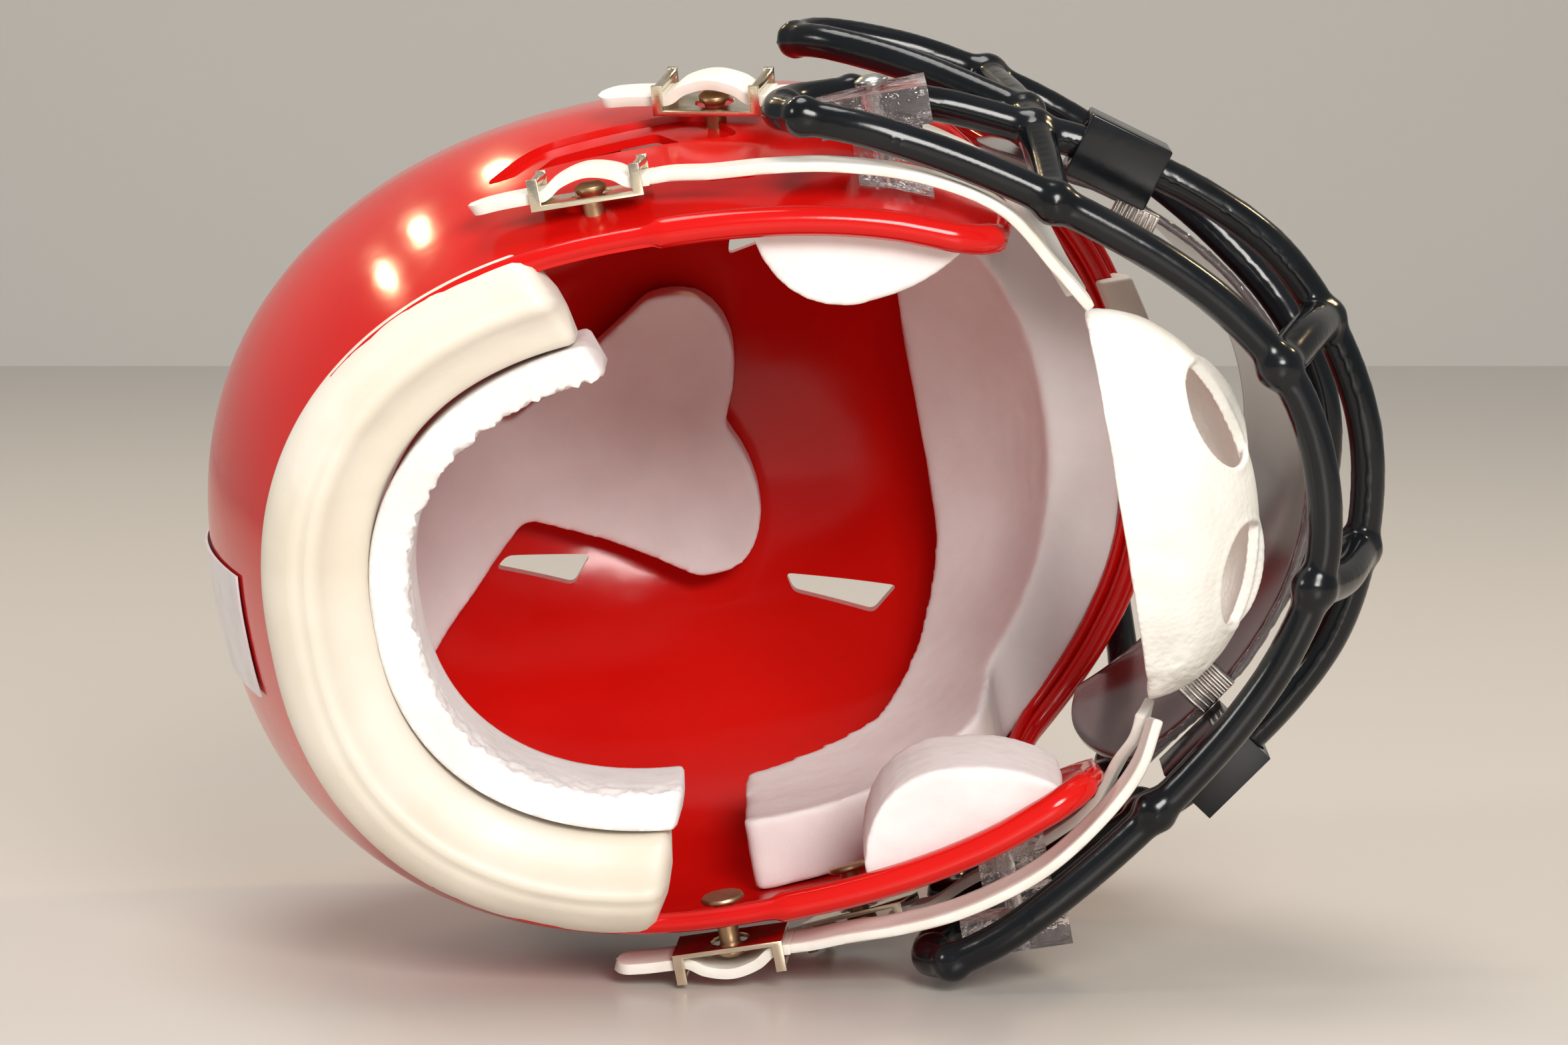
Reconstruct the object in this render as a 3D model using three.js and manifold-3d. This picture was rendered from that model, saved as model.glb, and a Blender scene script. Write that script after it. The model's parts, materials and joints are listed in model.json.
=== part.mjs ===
// Half-scale american football helmet, lying on its left side on a table.
//
// Helmet axes: +X forward (face guard), +Y up through the crown, +Z the wearer's right.
// The helmet is modelled upright in these axes, symmetric about z = 0, and the last lines
// turn it onto its left side and stand it on the ground plane. All lengths are in mm.
import * as THREE from 'three';
import { mergeVertices } from 'three/addons/utils/BufferGeometryUtils.js';
import Module from 'manifold-3d';

const wasm = await Module();
wasm.setup();

// ---- driving dimensions -------------------------------------------------------------
const SHELL = {
  middle: -6.5,          // x of the widest cross-section
  halfLength: 73.5,
  halfWidth: 62,
  crown: 126,            // height of the crown above the rim plane
  widest: 52,            // height at which the shell is widest
  wall: 2.4,
  power: 2.3,            // superellipse exponent: 2 is an ellipse, more is squarer
  sideTuck: 12,          // how far each side comes in from the widest height to the rim
  napeTuck: 14,          // the same at the back
};
const GAP = 0.3;         // clearance between touching pieces
const BROW_HEIGHT = 79;
const BAR_RADIUS = 2.6;
const STRAP = { width: 7, thickness: 1.5 };
const UPPER_STRAP_WIDTH = 6;
const LOWER_POST = { x: -11, y: 8 };
const UPPER_POST = { x: 7, y: 35 };
const PLATE_LIFT = 1.9;  // lower face of a buckle plate above the shell
const SIDE_SCREW = { x: 30, y: 13, clipFace: 62.5 };
const BROW_CLIP_Z = 24;
const CUP = {
  x: 54, y: 11, z: -2, depth: 20, drop: 15.5, halfWidth: 28.5, wall: 1.6,
  frontHalf: 20,         // half-width of the front wall that curls up over the chin
  frontRise: 11,         // how far it rises above the cup's widest level
};
const ROLL = 10;         // degrees the nose is raised when the helmet lies on its side
const TILT = 7;          // degrees the crown is raised

// ---- materials ----------------------------------------------------------------------
const finish = (color, roughness, metalness = 0) =>
  new THREE.MeshStandardMaterial({ color, roughness, metalness });
const RED_PLASTIC = () => finish(0xd01512, 0.15);
const CREAM_VINYL = () => finish(0xe6dcc8, 0.55);
const WHITE_FOAM = () => finish(0xf3eeee, 0.9);
const WHITE_VINYL = () => finish(0xeeeae0, 0.6);
const BLACK_PLASTIC = () => finish(0x0c0c0e, 0.15);
const CLEAR_PLASTIC = () => finish(0xd8d0d0, 0.1);
const SMOKE_PLASTIC = () => finish(0x6d6064, 0.1);
const METAL = () => finish(0xc8bfa8, 0.25, 1);
const PLAIN_LABEL = () => finish(0xe9e6ea, 0.5);

// ---- solids and booleans ------------------------------------------------------------
function toSolid(geometry) {
  const bare = geometry.clone();
  bare.deleteAttribute('normal');
  bare.deleteAttribute('uv');
  const merged = mergeVertices(bare, 1e-4);
  const mesh = new wasm.Mesh({
    numProp: 3,
    vertProperties: new Float32Array(merged.attributes.position.array),
    triVerts: new Uint32Array(merged.index.array),
  });
  return new wasm.Manifold(mesh);
}

function toGeometry(solid) {
  const mesh = solid.getMesh();
  const geometry = new THREE.BufferGeometry();
  geometry.setAttribute('position', new THREE.BufferAttribute(mesh.vertProperties, 3));
  geometry.setIndex(new THREE.BufferAttribute(mesh.triVerts, 1));
  geometry.computeVertexNormals();
  return geometry;
}

// Joins a stack of equal rings of points into one closed solid, with a fan at each end.
function loft(rings) {
  const count = rings[0].length;
  const positions = rings.flat().flatMap((p) => [p.x, p.y, p.z]);
  const faces = [];
  for (let i = 0; i + 1 < rings.length; i += 1) {
    for (let j = 0; j < count; j += 1) {
      const a = i * count + j;
      const b = i * count + (j + 1) % count;
      faces.push(a, b, a + count, b, b + count, a + count);
    }
  }
  const cap = (ring, start, flip) => {
    const centre = ring.reduce((sum, p) => sum.add(p), new THREE.Vector3());
    centre.divideScalar(count);
    const tip = positions.length / 3;
    positions.push(centre.x, centre.y, centre.z);
    for (let j = 0; j < count; j += 1) {
      const a = start + j;
      const b = start + (j + 1) % count;
      if (flip) faces.push(tip, b, a);
      else faces.push(tip, a, b);
    }
  };
  cap(rings[0], 0, true);
  cap(rings[rings.length - 1], (rings.length - 1) * count, false);
  const geometry = new THREE.BufferGeometry();
  geometry.setAttribute('position', new THREE.Float32BufferAttribute(positions, 3));
  geometry.setIndex(faces);
  const solid = toSolid(geometry);
  if (solid.volume() >= 0) return solid;
  const turned = faces.map((_, k) => faces[k - (k % 3) + 2 - (k % 3)]);
  geometry.setIndex(turned);
  return toSolid(geometry);
}

function box(low, high) {
  const size = high.map((v, i) => v - low[i]);
  const geometry = new THREE.BoxGeometry(...size);
  geometry.translate(...high.map((v, i) => (v + low[i]) / 2));
  return toSolid(geometry);
}

// A prism whose outline lies in the x-y plane and which runs along z, from z0 to z1.
function prismAlongZ(shape, z0, z1) {
  const geometry = new THREE.ExtrudeGeometry(shape, {
    depth: z1 - z0, bevelEnabled: false, curveSegments: 5,
  });
  geometry.translate(0, 0, z0);
  return toSolid(geometry);
}

// A prism whose outline is given as x and z, and which runs along y, from y0 to y1.
function prismAlongY(shape, y0, y1) {
  const geometry = new THREE.ExtrudeGeometry(shape, {
    depth: y1 - y0, bevelEnabled: false, curveSegments: 5,
  });
  geometry.rotateX(Math.PI / 2);
  geometry.translate(0, y1, 0);
  return toSolid(geometry);
}

const polygon = (points) => new THREE.Shape(points.map(([a, b]) => new THREE.Vector2(a, b)));
const vector = ([x, y, z]) => new THREE.Vector3(x, y, z);
const mirrored = ([x, y, z]) => [x, y, -z];

function smoothPath(points) {
  return new THREE.CatmullRomCurve3(points.map(vector), false, 'centripetal');
}

const BAR_SIDES = 8;

// A round bar along a path, with a ball at each end.
function bar(points, steps, radius = BAR_RADIUS) {
  const path = smoothPath(points);
  const circle = new THREE.Shape();
  circle.absarc(0, 0, radius, 0, Math.PI * 2);
  const geometry = new THREE.ExtrudeGeometry(circle, {
    steps, extrudePath: path, bevelEnabled: false, curveSegments: BAR_SIDES / 2,
  });
  let solid = toSolid(geometry);
  for (const end of [path.getPoint(0), path.getPoint(1)]) {
    const ball = new THREE.SphereGeometry(radius * 1.08, BAR_SIDES, 5);
    ball.translate(end.x, end.y, end.z);
    solid = solid.add(toSolid(ball));
  }
  return solid;
}

// A flat strip along a path: across is the direction of its width.
function ribbon(points, across, steps, width = STRAP.width, thickness = STRAP.thickness) {
  const path = smoothPath(points);
  const rings = [];
  for (let i = 0; i <= steps; i += 1) {
    const t = i / steps;
    const centre = path.getPoint(t);
    const along = path.getTangent(t);
    const side = vector(across).addScaledVector(along, -vector(across).dot(along)).normalize();
    const face = new THREE.Vector3().crossVectors(along, side);
    const corner = (u, v) => centre.clone()
      .addScaledVector(side, u * width / 2)
      .addScaledVector(face, v * thickness / 2);
    rings.push([corner(-1, -1), corner(1, -1), corner(1, 1), corner(-1, 1)]);
  }
  return loft(rings);
}

// ---- the shell's form ---------------------------------------------------------------
// Half-lengths and half-width of the shell's level section at height y, moved in by inset.
function section(y, inset) {
  const upper = Math.max(0, (y - SHELL.widest) / (SHELL.crown - SHELL.widest - inset));
  const shrink = (1 - Math.min(1, upper) ** SHELL.power) ** (1 / SHELL.power);
  const tuck = Math.max(0, (SHELL.widest - y) / SHELL.widest) ** 1.5;
  return {
    front: (SHELL.halfLength - inset) * shrink,
    back: (SHELL.halfLength - SHELL.napeTuck * tuck - inset) * shrink,
    side: (SHELL.halfWidth - SHELL.sideTuck * tuck - inset) * shrink,
  };
}

// Point of the level section at the angle, 0 pointing forward and a quarter turn to the right.
function sectionPoint(angle, y, inset) {
  const { front, back, side } = section(y, inset);
  const rounded = (v) => Math.sign(v) * Math.abs(v) ** (2 / SHELL.power);
  const c = Math.cos(angle);
  const length = c > 0 ? front : back;
  return new THREE.Vector3(SHELL.middle + length * rounded(c), y, side * rounded(Math.sin(angle)));
}

// The solid inside the shell's surface moved in by inset, from the height bottom upwards.
function dome(inset, bottom = 0, columns = 40) {
  const lift = SHELL.crown - SHELL.widest - inset;
  const heights = [bottom, 8, 20, 34, SHELL.widest];
  for (const turn of [0.2, 0.38, 0.54, 0.68, 0.8, 0.9, 0.97]) {
    heights.push(SHELL.widest + lift * Math.sin(turn * Math.PI / 2) ** (2 / SHELL.power));
  }
  const rings = heights.map((y) => Array.from({ length: columns }, (_, j) =>
    sectionPoint(-2 * Math.PI * j / columns, y, inset)));
  return loft(rings);
}

const layer = (outer, inner, bottom = 0) => dome(outer, bottom).subtract(dome(inner, bottom - 1));

// Distance from the mid-plane to the shell's outer face at a given x and y.
function sideFace(x, y, inset = 0) {
  const { front, back, side } = section(y, inset);
  const reach = Math.abs(x - SHELL.middle) / (x > SHELL.middle ? front : back);
  return side * (1 - Math.min(1, reach) ** SHELL.power) ** (1 / SHELL.power);
}

// Distance forward of the shell's outer face at a given y and z.
function frontFace(y, z, inset = 0) {
  const { front, side } = section(y, inset);
  const reach = Math.min(1, Math.abs(z) / side);
  return SHELL.middle + front * (1 - reach ** SHELL.power) ** (1 / SHELL.power);
}

// Side view of the face opening: rounded jaw corner, cheek edge, temple and brow.
function faceOpening(grow = 0) {
  const shape = new THREE.Shape();
  shape.moveTo(36 - grow, -12);
  shape.lineTo(36 - grow, 0);
  shape.quadraticCurveTo(44 - grow, 0, 45 - grow, 9);
  shape.lineTo(45 - grow, 24);
  shape.quadraticCurveTo(43 - grow, 42, 36 - grow, 54);
  shape.quadraticCurveTo(31 - grow, 66, 38 - grow, 74 + grow);
  shape.quadraticCurveTo(44, 78 + grow, 52, BROW_HEIGHT + grow);
  shape.lineTo(95, BROW_HEIGHT + 3 + grow);
  shape.lineTo(95, -12);
  shape.closePath();
  return prismAlongZ(shape, -90, 90);
}

const bothSides = [{ side: 1, name: 'right' }, { side: -1, name: 'left' }];
const helmet = new THREE.Group();

function place(name, solid, material) {
  const mesh = new THREE.Mesh(toGeometry(solid), material);
  mesh.name = name;
  helmet.add(mesh);
  return mesh;
}

// A solid of revolution whose axis starts at a point and runs along a direction.
function turned(profile, start, direction, segments = 12) {
  const outline = profile.map(([r, h]) => new THREE.Vector2(r, h));
  const geometry = new THREE.LatheGeometry(outline, segments);
  const turn = new THREE.Quaternion().setFromUnitVectors(
    new THREE.Vector3(0, 1, 0), direction.clone().normalize());
  geometry.applyQuaternion(turn);
  geometry.translate(start.x, start.y, start.z);
  return toSolid(geometry);
}

const rod = (radius, start, direction, from, to) =>
  turned([[0, from], [radius, from], [radius, to], [0, to]], start, direction);

// ---- screw and post axes ------------------------------------------------------------
function normalAt(x, y) {
  const step = 0.5;
  const dx = (sideFace(x + step, y) - sideFace(x - step, y)) / (2 * step);
  const dy = (sideFace(x, y + step) - sideFace(x, y - step)) / (2 * step);
  return new THREE.Vector3(-dx, -dy, 1).normalize();
}

const lowerPost = {
  foot: new THREE.Vector3(LOWER_POST.x, LOWER_POST.y, sideFace(LOWER_POST.x, LOWER_POST.y)),
  axis: new THREE.Vector3(0, 0, 1),
};
const upperPost = {
  foot: new THREE.Vector3(UPPER_POST.x, UPPER_POST.y, sideFace(UPPER_POST.x, UPPER_POST.y)),
  axis: normalAt(UPPER_POST.x, UPPER_POST.y),
};
const browNormal = new THREE.Vector3(0.72, 0.62, 0.31).normalize();
const browFoot = new THREE.Vector3(frontFace(103, BROW_CLIP_Z), 103, BROW_CLIP_Z);
const sideScrewFoot = new THREE.Vector3(SIDE_SCREW.x, SIDE_SCREW.y,
  sideFace(SIDE_SCREW.x, SIDE_SCREW.y));
const LATERAL = new THREE.Vector3(0, 0, 1);

const flip = (v, side) => new THREE.Vector3(v.x, v.y, v.z * side);

// ---- shell --------------------------------------------------------------------------
const POST_SHANK = 1.5;
const SCREW_SHANK = 1;

function ventOutlines() {
  const rear = [[-44.6, 17], [-42.5, 15.5], [-29.2, 18.5], [-32.8, 22.6]];
  const front = [[2, 27], [19.9, 31], [15.3, 34.6], [2.8, 30]];
  return [rear, front];
}

function buildShell() {
  let shell = layer(0, SHELL.wall).subtract(faceOpening());
  for (const { side } of bothSides) {
    for (const outline of ventOutlines()) {
      shell = shell.subtract(prismAlongY(
        polygon(outline.map(([x, z]) => [x, z * side])), 95, 130));
    }
    const sideVent = polygon([[-20, 29], [-17, 33], [-2, 35], [2, 29]]);
    const backVent = polygon([[-50, 76], [-49, 80], [-38, 84], [-41, 78]]);
    const earSlot = polygon([[5, 12], [6.5, 15], [13, 15], [11.5, 12]]);
    for (const outline of [sideVent, backVent, earSlot]) {
      const cut = side > 0 ? prismAlongZ(outline, 30, 80) : prismAlongZ(outline, -80, -30);
      shell = shell.subtract(cut);
    }
    const hole = (radius, foot, axis) => rod(radius + GAP, flip(foot, side), flip(axis, side), -8, 8);
    shell = shell
      .subtract(hole(POST_SHANK, lowerPost.foot, lowerPost.axis))
      .subtract(hole(POST_SHANK, upperPost.foot, upperPost.axis))
      .subtract(hole(SCREW_SHANK, sideScrewFoot, LATERAL))
      .subtract(hole(SCREW_SHANK, browFoot, browNormal));
  }
  return shell;
}

place('shell', buildShell(), RED_PLASTIC());

// The shell's own space with clearance all round, cut from the pieces that wrap its rim.
const shellSpace = layer(-GAP, SHELL.wall + GAP, -GAP).subtract(faceOpening(-GAP));

// ---- neck bumper and foam -----------------------------------------------------------
// Rounded cushion section that follows the nape rim from one flap round to the other.
function napeBand(outset, thick, low, high, reach) {
  const rings = [];
  const steps = 22;
  for (let i = 0; i <= steps; i += 1) {
    const angle = Math.PI - reach + 2 * reach * i / steps;
    const outer = sectionPoint(angle, 2, -outset);
    const inward = new THREE.Vector3(SHELL.middle * 0.4 - outer.x, 0, -outer.z).normalize();
    const corner = (u, v) => outer.clone().addScaledVector(inward, u * thick).setY(v);
    const chamfer = 0.28;
    const height = high - low;
    rings.push([
      corner(chamfer, low), corner(1 - chamfer, low), corner(1, low + height * chamfer),
      corner(1, high - height * chamfer), corner(1 - chamfer, high), corner(chamfer, high),
      corner(0, high - height * chamfer), corner(0, low + height * chamfer),
    ]);
  }
  return loft(rings);
}

const NAPE_REACH = 1.39;
const BUMPER = { outset: 0.2, thick: 15, low: -4.5, high: 9 };
const bumperBand = napeBand(BUMPER.outset, BUMPER.thick, BUMPER.low, BUMPER.high, NAPE_REACH);
place('neck_bumper', bumperBand.subtract(shellSpace), CREAM_VINYL());

const NECK_FOAM = { thick: 5.4, low: 1, high: 17 };
place('neck_foam', napeBand(BUMPER.outset - BUMPER.thick - GAP, NECK_FOAM.thick,
  NECK_FOAM.low, NECK_FOAM.high, NAPE_REACH + 0.04), WHITE_FOAM());

// ---- foam pads glued inside the shell -----------------------------------------------
const CROWN_PAD_THICKNESS = 9;
const crownOutline = new THREE.Shape();
crownOutline.moveTo(-38, 7.5);
crownOutline.quadraticCurveTo(-28, 12, -12, 23.5);
crownOutline.quadraticCurveTo(-2, 25, 0, 16);
crownOutline.quadraticCurveTo(1, 8, -3.5, 0);
crownOutline.quadraticCurveTo(1, -8, 0, -16);
crownOutline.quadraticCurveTo(-2, -25, -12, -23.5);
crownOutline.quadraticCurveTo(-28, -13, -38, -9);
crownOutline.lineTo(-58, -27);
crownOutline.lineTo(-74, -24);
crownOutline.lineTo(-74, 24);
crownOutline.lineTo(-58, 27);
crownOutline.closePath();
place('crown_pad', layer(SHELL.wall + GAP, SHELL.wall + GAP + CROWN_PAD_THICKNESS, 30)
  .intersect(prismAlongY(crownOutline, 66, 130)), WHITE_FOAM());

const FRONT_PAD_THICKNESS = 11;
const nutPocket = (foot, axis, radius, depth) => rod(radius, foot, axis, -depth, 2);

function buildFrontPad() {
  const outline = polygon([
    [-8, 44], [18, 48], [30, 58], [33, 74], [46, 81.5], [80, 84.5], [80, 130],
    [28, 130], [28, 100], [14, 78], [-8, 70],
  ]);
  let pad = layer(SHELL.wall + GAP, SHELL.wall + GAP + FRONT_PAD_THICKNESS, 30)
    .intersect(prismAlongZ(outline, -80, 80));
  for (const { side } of bothSides) {
    pad = pad.subtract(nutPocket(flip(browFoot, side), flip(browNormal, side), 3.4, 8.5));
  }
  return pad;
}

place('front_pad', buildFrontPad(), WHITE_FOAM());

function buildJawPad(side) {
  const outline = new THREE.Shape();
  outline.moveTo(10, 70);
  outline.lineTo(41, 70);
  outline.lineTo(40, 40);
  outline.quadraticCurveTo(34, 34.5, 22, 34);
  outline.quadraticCurveTo(12, 35, 10, 46);
  outline.closePath();
  let pad = prismAlongY(outline, 4, 24).intersect(dome(SHELL.wall + GAP, -1))
    .subtract(nutPocket(sideScrewFoot, LATERAL, 3.6, 8.5));
  if (side < 0) pad = pad.scale([1, 1, -1]);
  return pad;
}

for (const { side, name } of bothSides) place(`jaw_pad_${name}`, buildJawPad(side), WHITE_FOAM());

// ---- front bumper -------------------------------------------------------------------
const browStrip = layer(-2.6, SHELL.wall, 40)
  .intersect(box([40, BROW_HEIGHT - 2.6, -19], [90, BROW_HEIGHT + 14, 19]));
place('front_bumper', browStrip.subtract(
  layer(-GAP, SHELL.wall + 4, 40).subtract(faceOpening(-GAP))), CREAM_VINYL());

// ---- face guard ---------------------------------------------------------------------
// One half of each bar, from the mid-plane to the right; the other half mirrors it.
function symmetricBar(half, steps) {
  const right = half.slice(half[0][2] === 0 ? 1 : 0);
  const middle = half[0][2] === 0 ? [half[0]] : [];
  return bar([...right.slice().reverse(), ...middle, ...right.map(mirrored)], steps);
}

const chinBar = [
  [82.5, 0, 0], [80.5, 0, 13], [74.5, 0, 23.5], [67, 0, 32], [55, 0, 42],
  [41, 0, 51.5], [28, 0, 58.5], [20, 1.5, 61.5],
];
const mouthBar = [
  [91.5, 24, 0], [89, 24, 15], [83, 24, 28], [74, 24, 37.5], [62, 24, 46],
  [51, 24, 51.5], [39, 24, 57], [27, 22, 61],
];
const noseBar = [[88, 46, 0], [85, 47, 14], [77, 50, 27.5], [64, 56, 42], [56, 59, 49], [47, 60, 55.5]];
const browBarHeight = 100;
const browClear = -(BAR_RADIUS + 1);
const browBar = [
  [frontFace(browBarHeight, 0, browClear), browBarHeight, 0],
  [frontFace(browBarHeight - 1, 14, browClear), browBarHeight - 1, 14],
  [frontFace(96, 28, browClear), 96, 28],
  [53, 80, 46],
  [47, 60, 55.5],
];

function buildGuard() {
  let guard = symmetricBar(chinBar, 24)
    .add(symmetricBar(mouthBar, 24))
    .add(symmetricBar(noseBar, 16))
    .add(symmetricBar(browBar, 16));
  const pieces = [
    { points: [[20, 1.5, 61.5], [16.8, 7, 62], [18.5, 16, 62], [27, 22, 61]], steps: 8 },
    { points: [[52, 0, 44], [52, 12, 47.4], [51.5, 24, 51.2]], steps: 4 },
    { points: [[51.5, 24, 51.2], [50, 40, 53.6], [47, 60, 55.5]], steps: 5 },
    { points: [[51, 33, 52.6], [36, 43, 61], [24, 49, 66], [20, 54, 66.5], [24, 60, 66],
      [36, 61, 61.5], [47, 60, 55.5]], steps: 12 },
    { points: [[79, 0, 16], [84, 11, 17.5], [88, 24, 17]], steps: 5 },
  ];
  for (const { points, steps } of pieces) {
    guard = guard.add(bar(points, steps)).add(bar(points.map(mirrored), steps));
  }
  return guard;
}

place('face_guard', buildGuard(), BLACK_PLASTIC());

// ---- clips, screws and nuts that hold the guard ---------------------------------------
function buildSideClip() {
  const outline = polygon([[22, 5.2], [37.5, 4], [37.5, 19.6], [30.5, 17.6], [22, 12.4]]);
  const body = prismAlongZ(outline, 57.2, SIDE_SCREW.clipFace);
  const foot = box([26, 9.6, 44], [36, 17, 58]);
  return body.add(foot)
    .subtract(dome(-GAP, -1))
    .subtract(rod(SCREW_SHANK + GAP, sideScrewFoot, LATERAL, -4, 20));
}

function buildScrew(foot, axis, headHeight) {
  return turned([
    [0, -7], [SCREW_SHANK, -7], [SCREW_SHANK, headHeight], [2.4, headHeight],
    [2.4, headHeight + 0.8], [1.4, headHeight + 1.4], [0, headHeight + 1.4],
  ], foot, axis);
}

function buildNut(foot, axis) {
  return turned([
    [SCREW_SHANK + GAP, -6], [2.6, -6], [2.6, -4.6], [SCREW_SHANK + GAP, -4.6],
    [SCREW_SHANK + GAP, -6],
  ], foot, axis, 6);
}

function buildBrowClip() {
  const away = browNormal;
  const down = new THREE.Vector3(0.55, -0.8, 0.0);
  down.addScaledVector(away, -down.dot(away)).normalize();
  const sideways = new THREE.Vector3().crossVectors(down, away);
  const frameOf = new THREE.Matrix4().makeBasis(sideways, down, away).setPosition(browFoot);
  const slab = new THREE.BoxGeometry(9, 15, 7.6);
  slab.translate(0, 3.5, 3.4);
  slab.applyMatrix4(frameOf);
  const barSpace = bar([browBar[3], browBar[2], browBar[1], browBar[0]], 20, BAR_RADIUS + GAP + 0.1);
  return toSolid(slab)
    .subtract(dome(-GAP, 30))
    .subtract(barSpace)
    .subtract(rod(SCREW_SHANK + GAP, browFoot, away, -4, 20));
}

const largestPiece = (solid) => solid.decompose().sort((a, b) => b.volume() - a.volume())[0];
const sideClipHead = SIDE_SCREW.clipFace - sideScrewFoot.z + GAP;
const onSide = (solid, side) => (side > 0 ? solid : solid.scale([1, 1, -1]));

for (const { side, name } of bothSides) {
  place(`side_clip_${name}`, onSide(buildSideClip(), side), CLEAR_PLASTIC());
  place(`side_screw_${name}`, onSide(buildScrew(sideScrewFoot, LATERAL, sideClipHead), side), METAL());
  place(`side_nut_${name}`, onSide(buildNut(sideScrewFoot, LATERAL), side), METAL());
  place(`brow_clip_${name}`, onSide(largestPiece(buildBrowClip()), side), BLACK_PLASTIC());
  place(`brow_screw_${name}`, onSide(buildScrew(browFoot, browNormal, 7.2 + GAP), side), METAL());
  place(`brow_nut_${name}`, onSide(buildNut(browFoot, browNormal), side), METAL());
}

// ---- visor --------------------------------------------------------------------------
const VISOR = { centre: 20, bottom: 30, top: 76, thickness: 1.2 };

// Half-axes of the visor's level arc at height y: it leans back slightly towards the top.
const visorAxes = (y) => {
  const rise = (y - VISOR.bottom) / (VISOR.top - VISOR.bottom);
  return { length: 64.5 - 5 * rise, width: 52 - 2.5 * rise };
};
const visorSide = (y) => 51 - 7 * Math.sin(Math.PI * (y - VISOR.bottom) / 62);

function visorPoint(t, y, inset) {
  const { length, width } = visorAxes(y);
  const start = Math.acos((visorSide(y) - VISOR.centre) / length);
  const angle = start * t;
  return new THREE.Vector3(VISOR.centre + (length - inset) * Math.cos(angle), y,
    (width - inset) * Math.sin(angle));
}

function buildVisor() {
  const rings = [];
  const columns = 22;
  const rows = [0, 0.25, 0.5, 0.75, 1].map((k) => VISOR.bottom + k * (VISOR.top - VISOR.bottom));
  for (let i = 0; i <= columns; i += 1) {
    const t = -1 + 2 * i / columns;
    rings.push([
      ...rows.map((y) => visorPoint(t, y, 0)),
      ...rows.slice().reverse().map((y) => visorPoint(t, y, VISOR.thickness)),
    ]);
  }
  return loft(rings);
}

place('visor', buildVisor(), SMOKE_PLASTIC());

function buildVisorClip() {
  const block = new THREE.BoxGeometry(12.5, 9.4, 9.4);
  block.rotateY(Math.PI * 0.2);
  block.translate(62.6, 25, 44.9);
  const barSpace = bar(mouthBar.slice(1, 7), 20, BAR_RADIUS + GAP + 0.2);
  const visorSpace = box([40, VISOR.bottom - 0.4, 0], [90, 60, 80]);
  return largestPiece(toSolid(block).subtract(barSpace).subtract(visorSpace));
}

const TAB = { x: 63, z: 34.4, length: 6.8, width: 6.4, thick: 2.4, turn: Math.PI * 0.2 };

function buildVisorTab() {
  const slab = new THREE.BoxGeometry(TAB.length, TAB.thick, TAB.width);
  slab.rotateY(TAB.turn);
  slab.translate(TAB.x, VISOR.bottom - GAP - TAB.thick / 2, TAB.z);
  return toSolid(slab);
}

for (const { side, name } of bothSides) {
  place(`visor_clip_${name}`, onSide(buildVisorClip(), side), BLACK_PLASTIC());
  place(`visor_tab_${name}`, onSide(buildVisorTab(), side), METAL());
}

// ---- chin cup -----------------------------------------------------------------------
function cupBall(inset) {
  const ball = new THREE.SphereGeometry(1, 28, 16);
  ball.scale(CUP.depth - inset, CUP.drop - inset, CUP.halfWidth - inset);
  ball.translate(CUP.x, CUP.y, CUP.z);
  return toSolid(ball);
}

function buildChinCup() {
  const hole = (z, turn) => {
    const oval = new THREE.Shape();
    oval.absellipse(0, 0, 3.4, 8.2, 0, Math.PI * 2, false, turn);
    return prismAlongY(oval, -10, 9).translate([CUP.x + 15.4, 0, CUP.z + z]);
  };
  const bowlRoom = box([CUP.x, -20, -60], [100, CUP.y + 1, 60]);
  const frontRoom = box([CUP.x + 3, CUP.y, CUP.z - CUP.frontHalf],
    [100, CUP.y + CUP.frontRise, CUP.z + CUP.frontHalf]);
  return cupBall(0).subtract(cupBall(CUP.wall))
    .intersect(bowlRoom.add(frontRoom))
    .subtract(hole(11.5, 0.3))
    .subtract(hole(-11.5, -0.3));
}

place('chin_cup', buildChinCup(), WHITE_VINYL());

// ---- snap posts, buckles and straps ---------------------------------------------------
function buildPost({ foot, axis }) {
  const inside = -SHELL.wall - 1.5;
  return turned([
    [0, inside - 0.9], [3, inside - 0.9], [3.2, inside - 0.3], [3, inside], [POST_SHANK, inside],
    [POST_SHANK, 2.4], [2.2, 3], [2.3, 3.7], [1.4, 4.3], [0, 4.3],
  ], foot, axis);
}

// Frame of a buckle: x along the strap towards the chin cup, y across it, z away from the shell.
function buckleFrame({ foot, axis }, toward) {
  const along = vector(toward).addScaledVector(axis, -vector(toward).dot(axis)).normalize();
  const across = new THREE.Vector3().crossVectors(axis, along);
  return new THREE.Matrix4().makeBasis(along, across, axis).setPosition(foot);
}

const BUCKLE = { halfLength: 8, halfWidth: 4.6, plate: 0.7, barRadius: 0.75, barLift: 3.75 };

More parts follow.
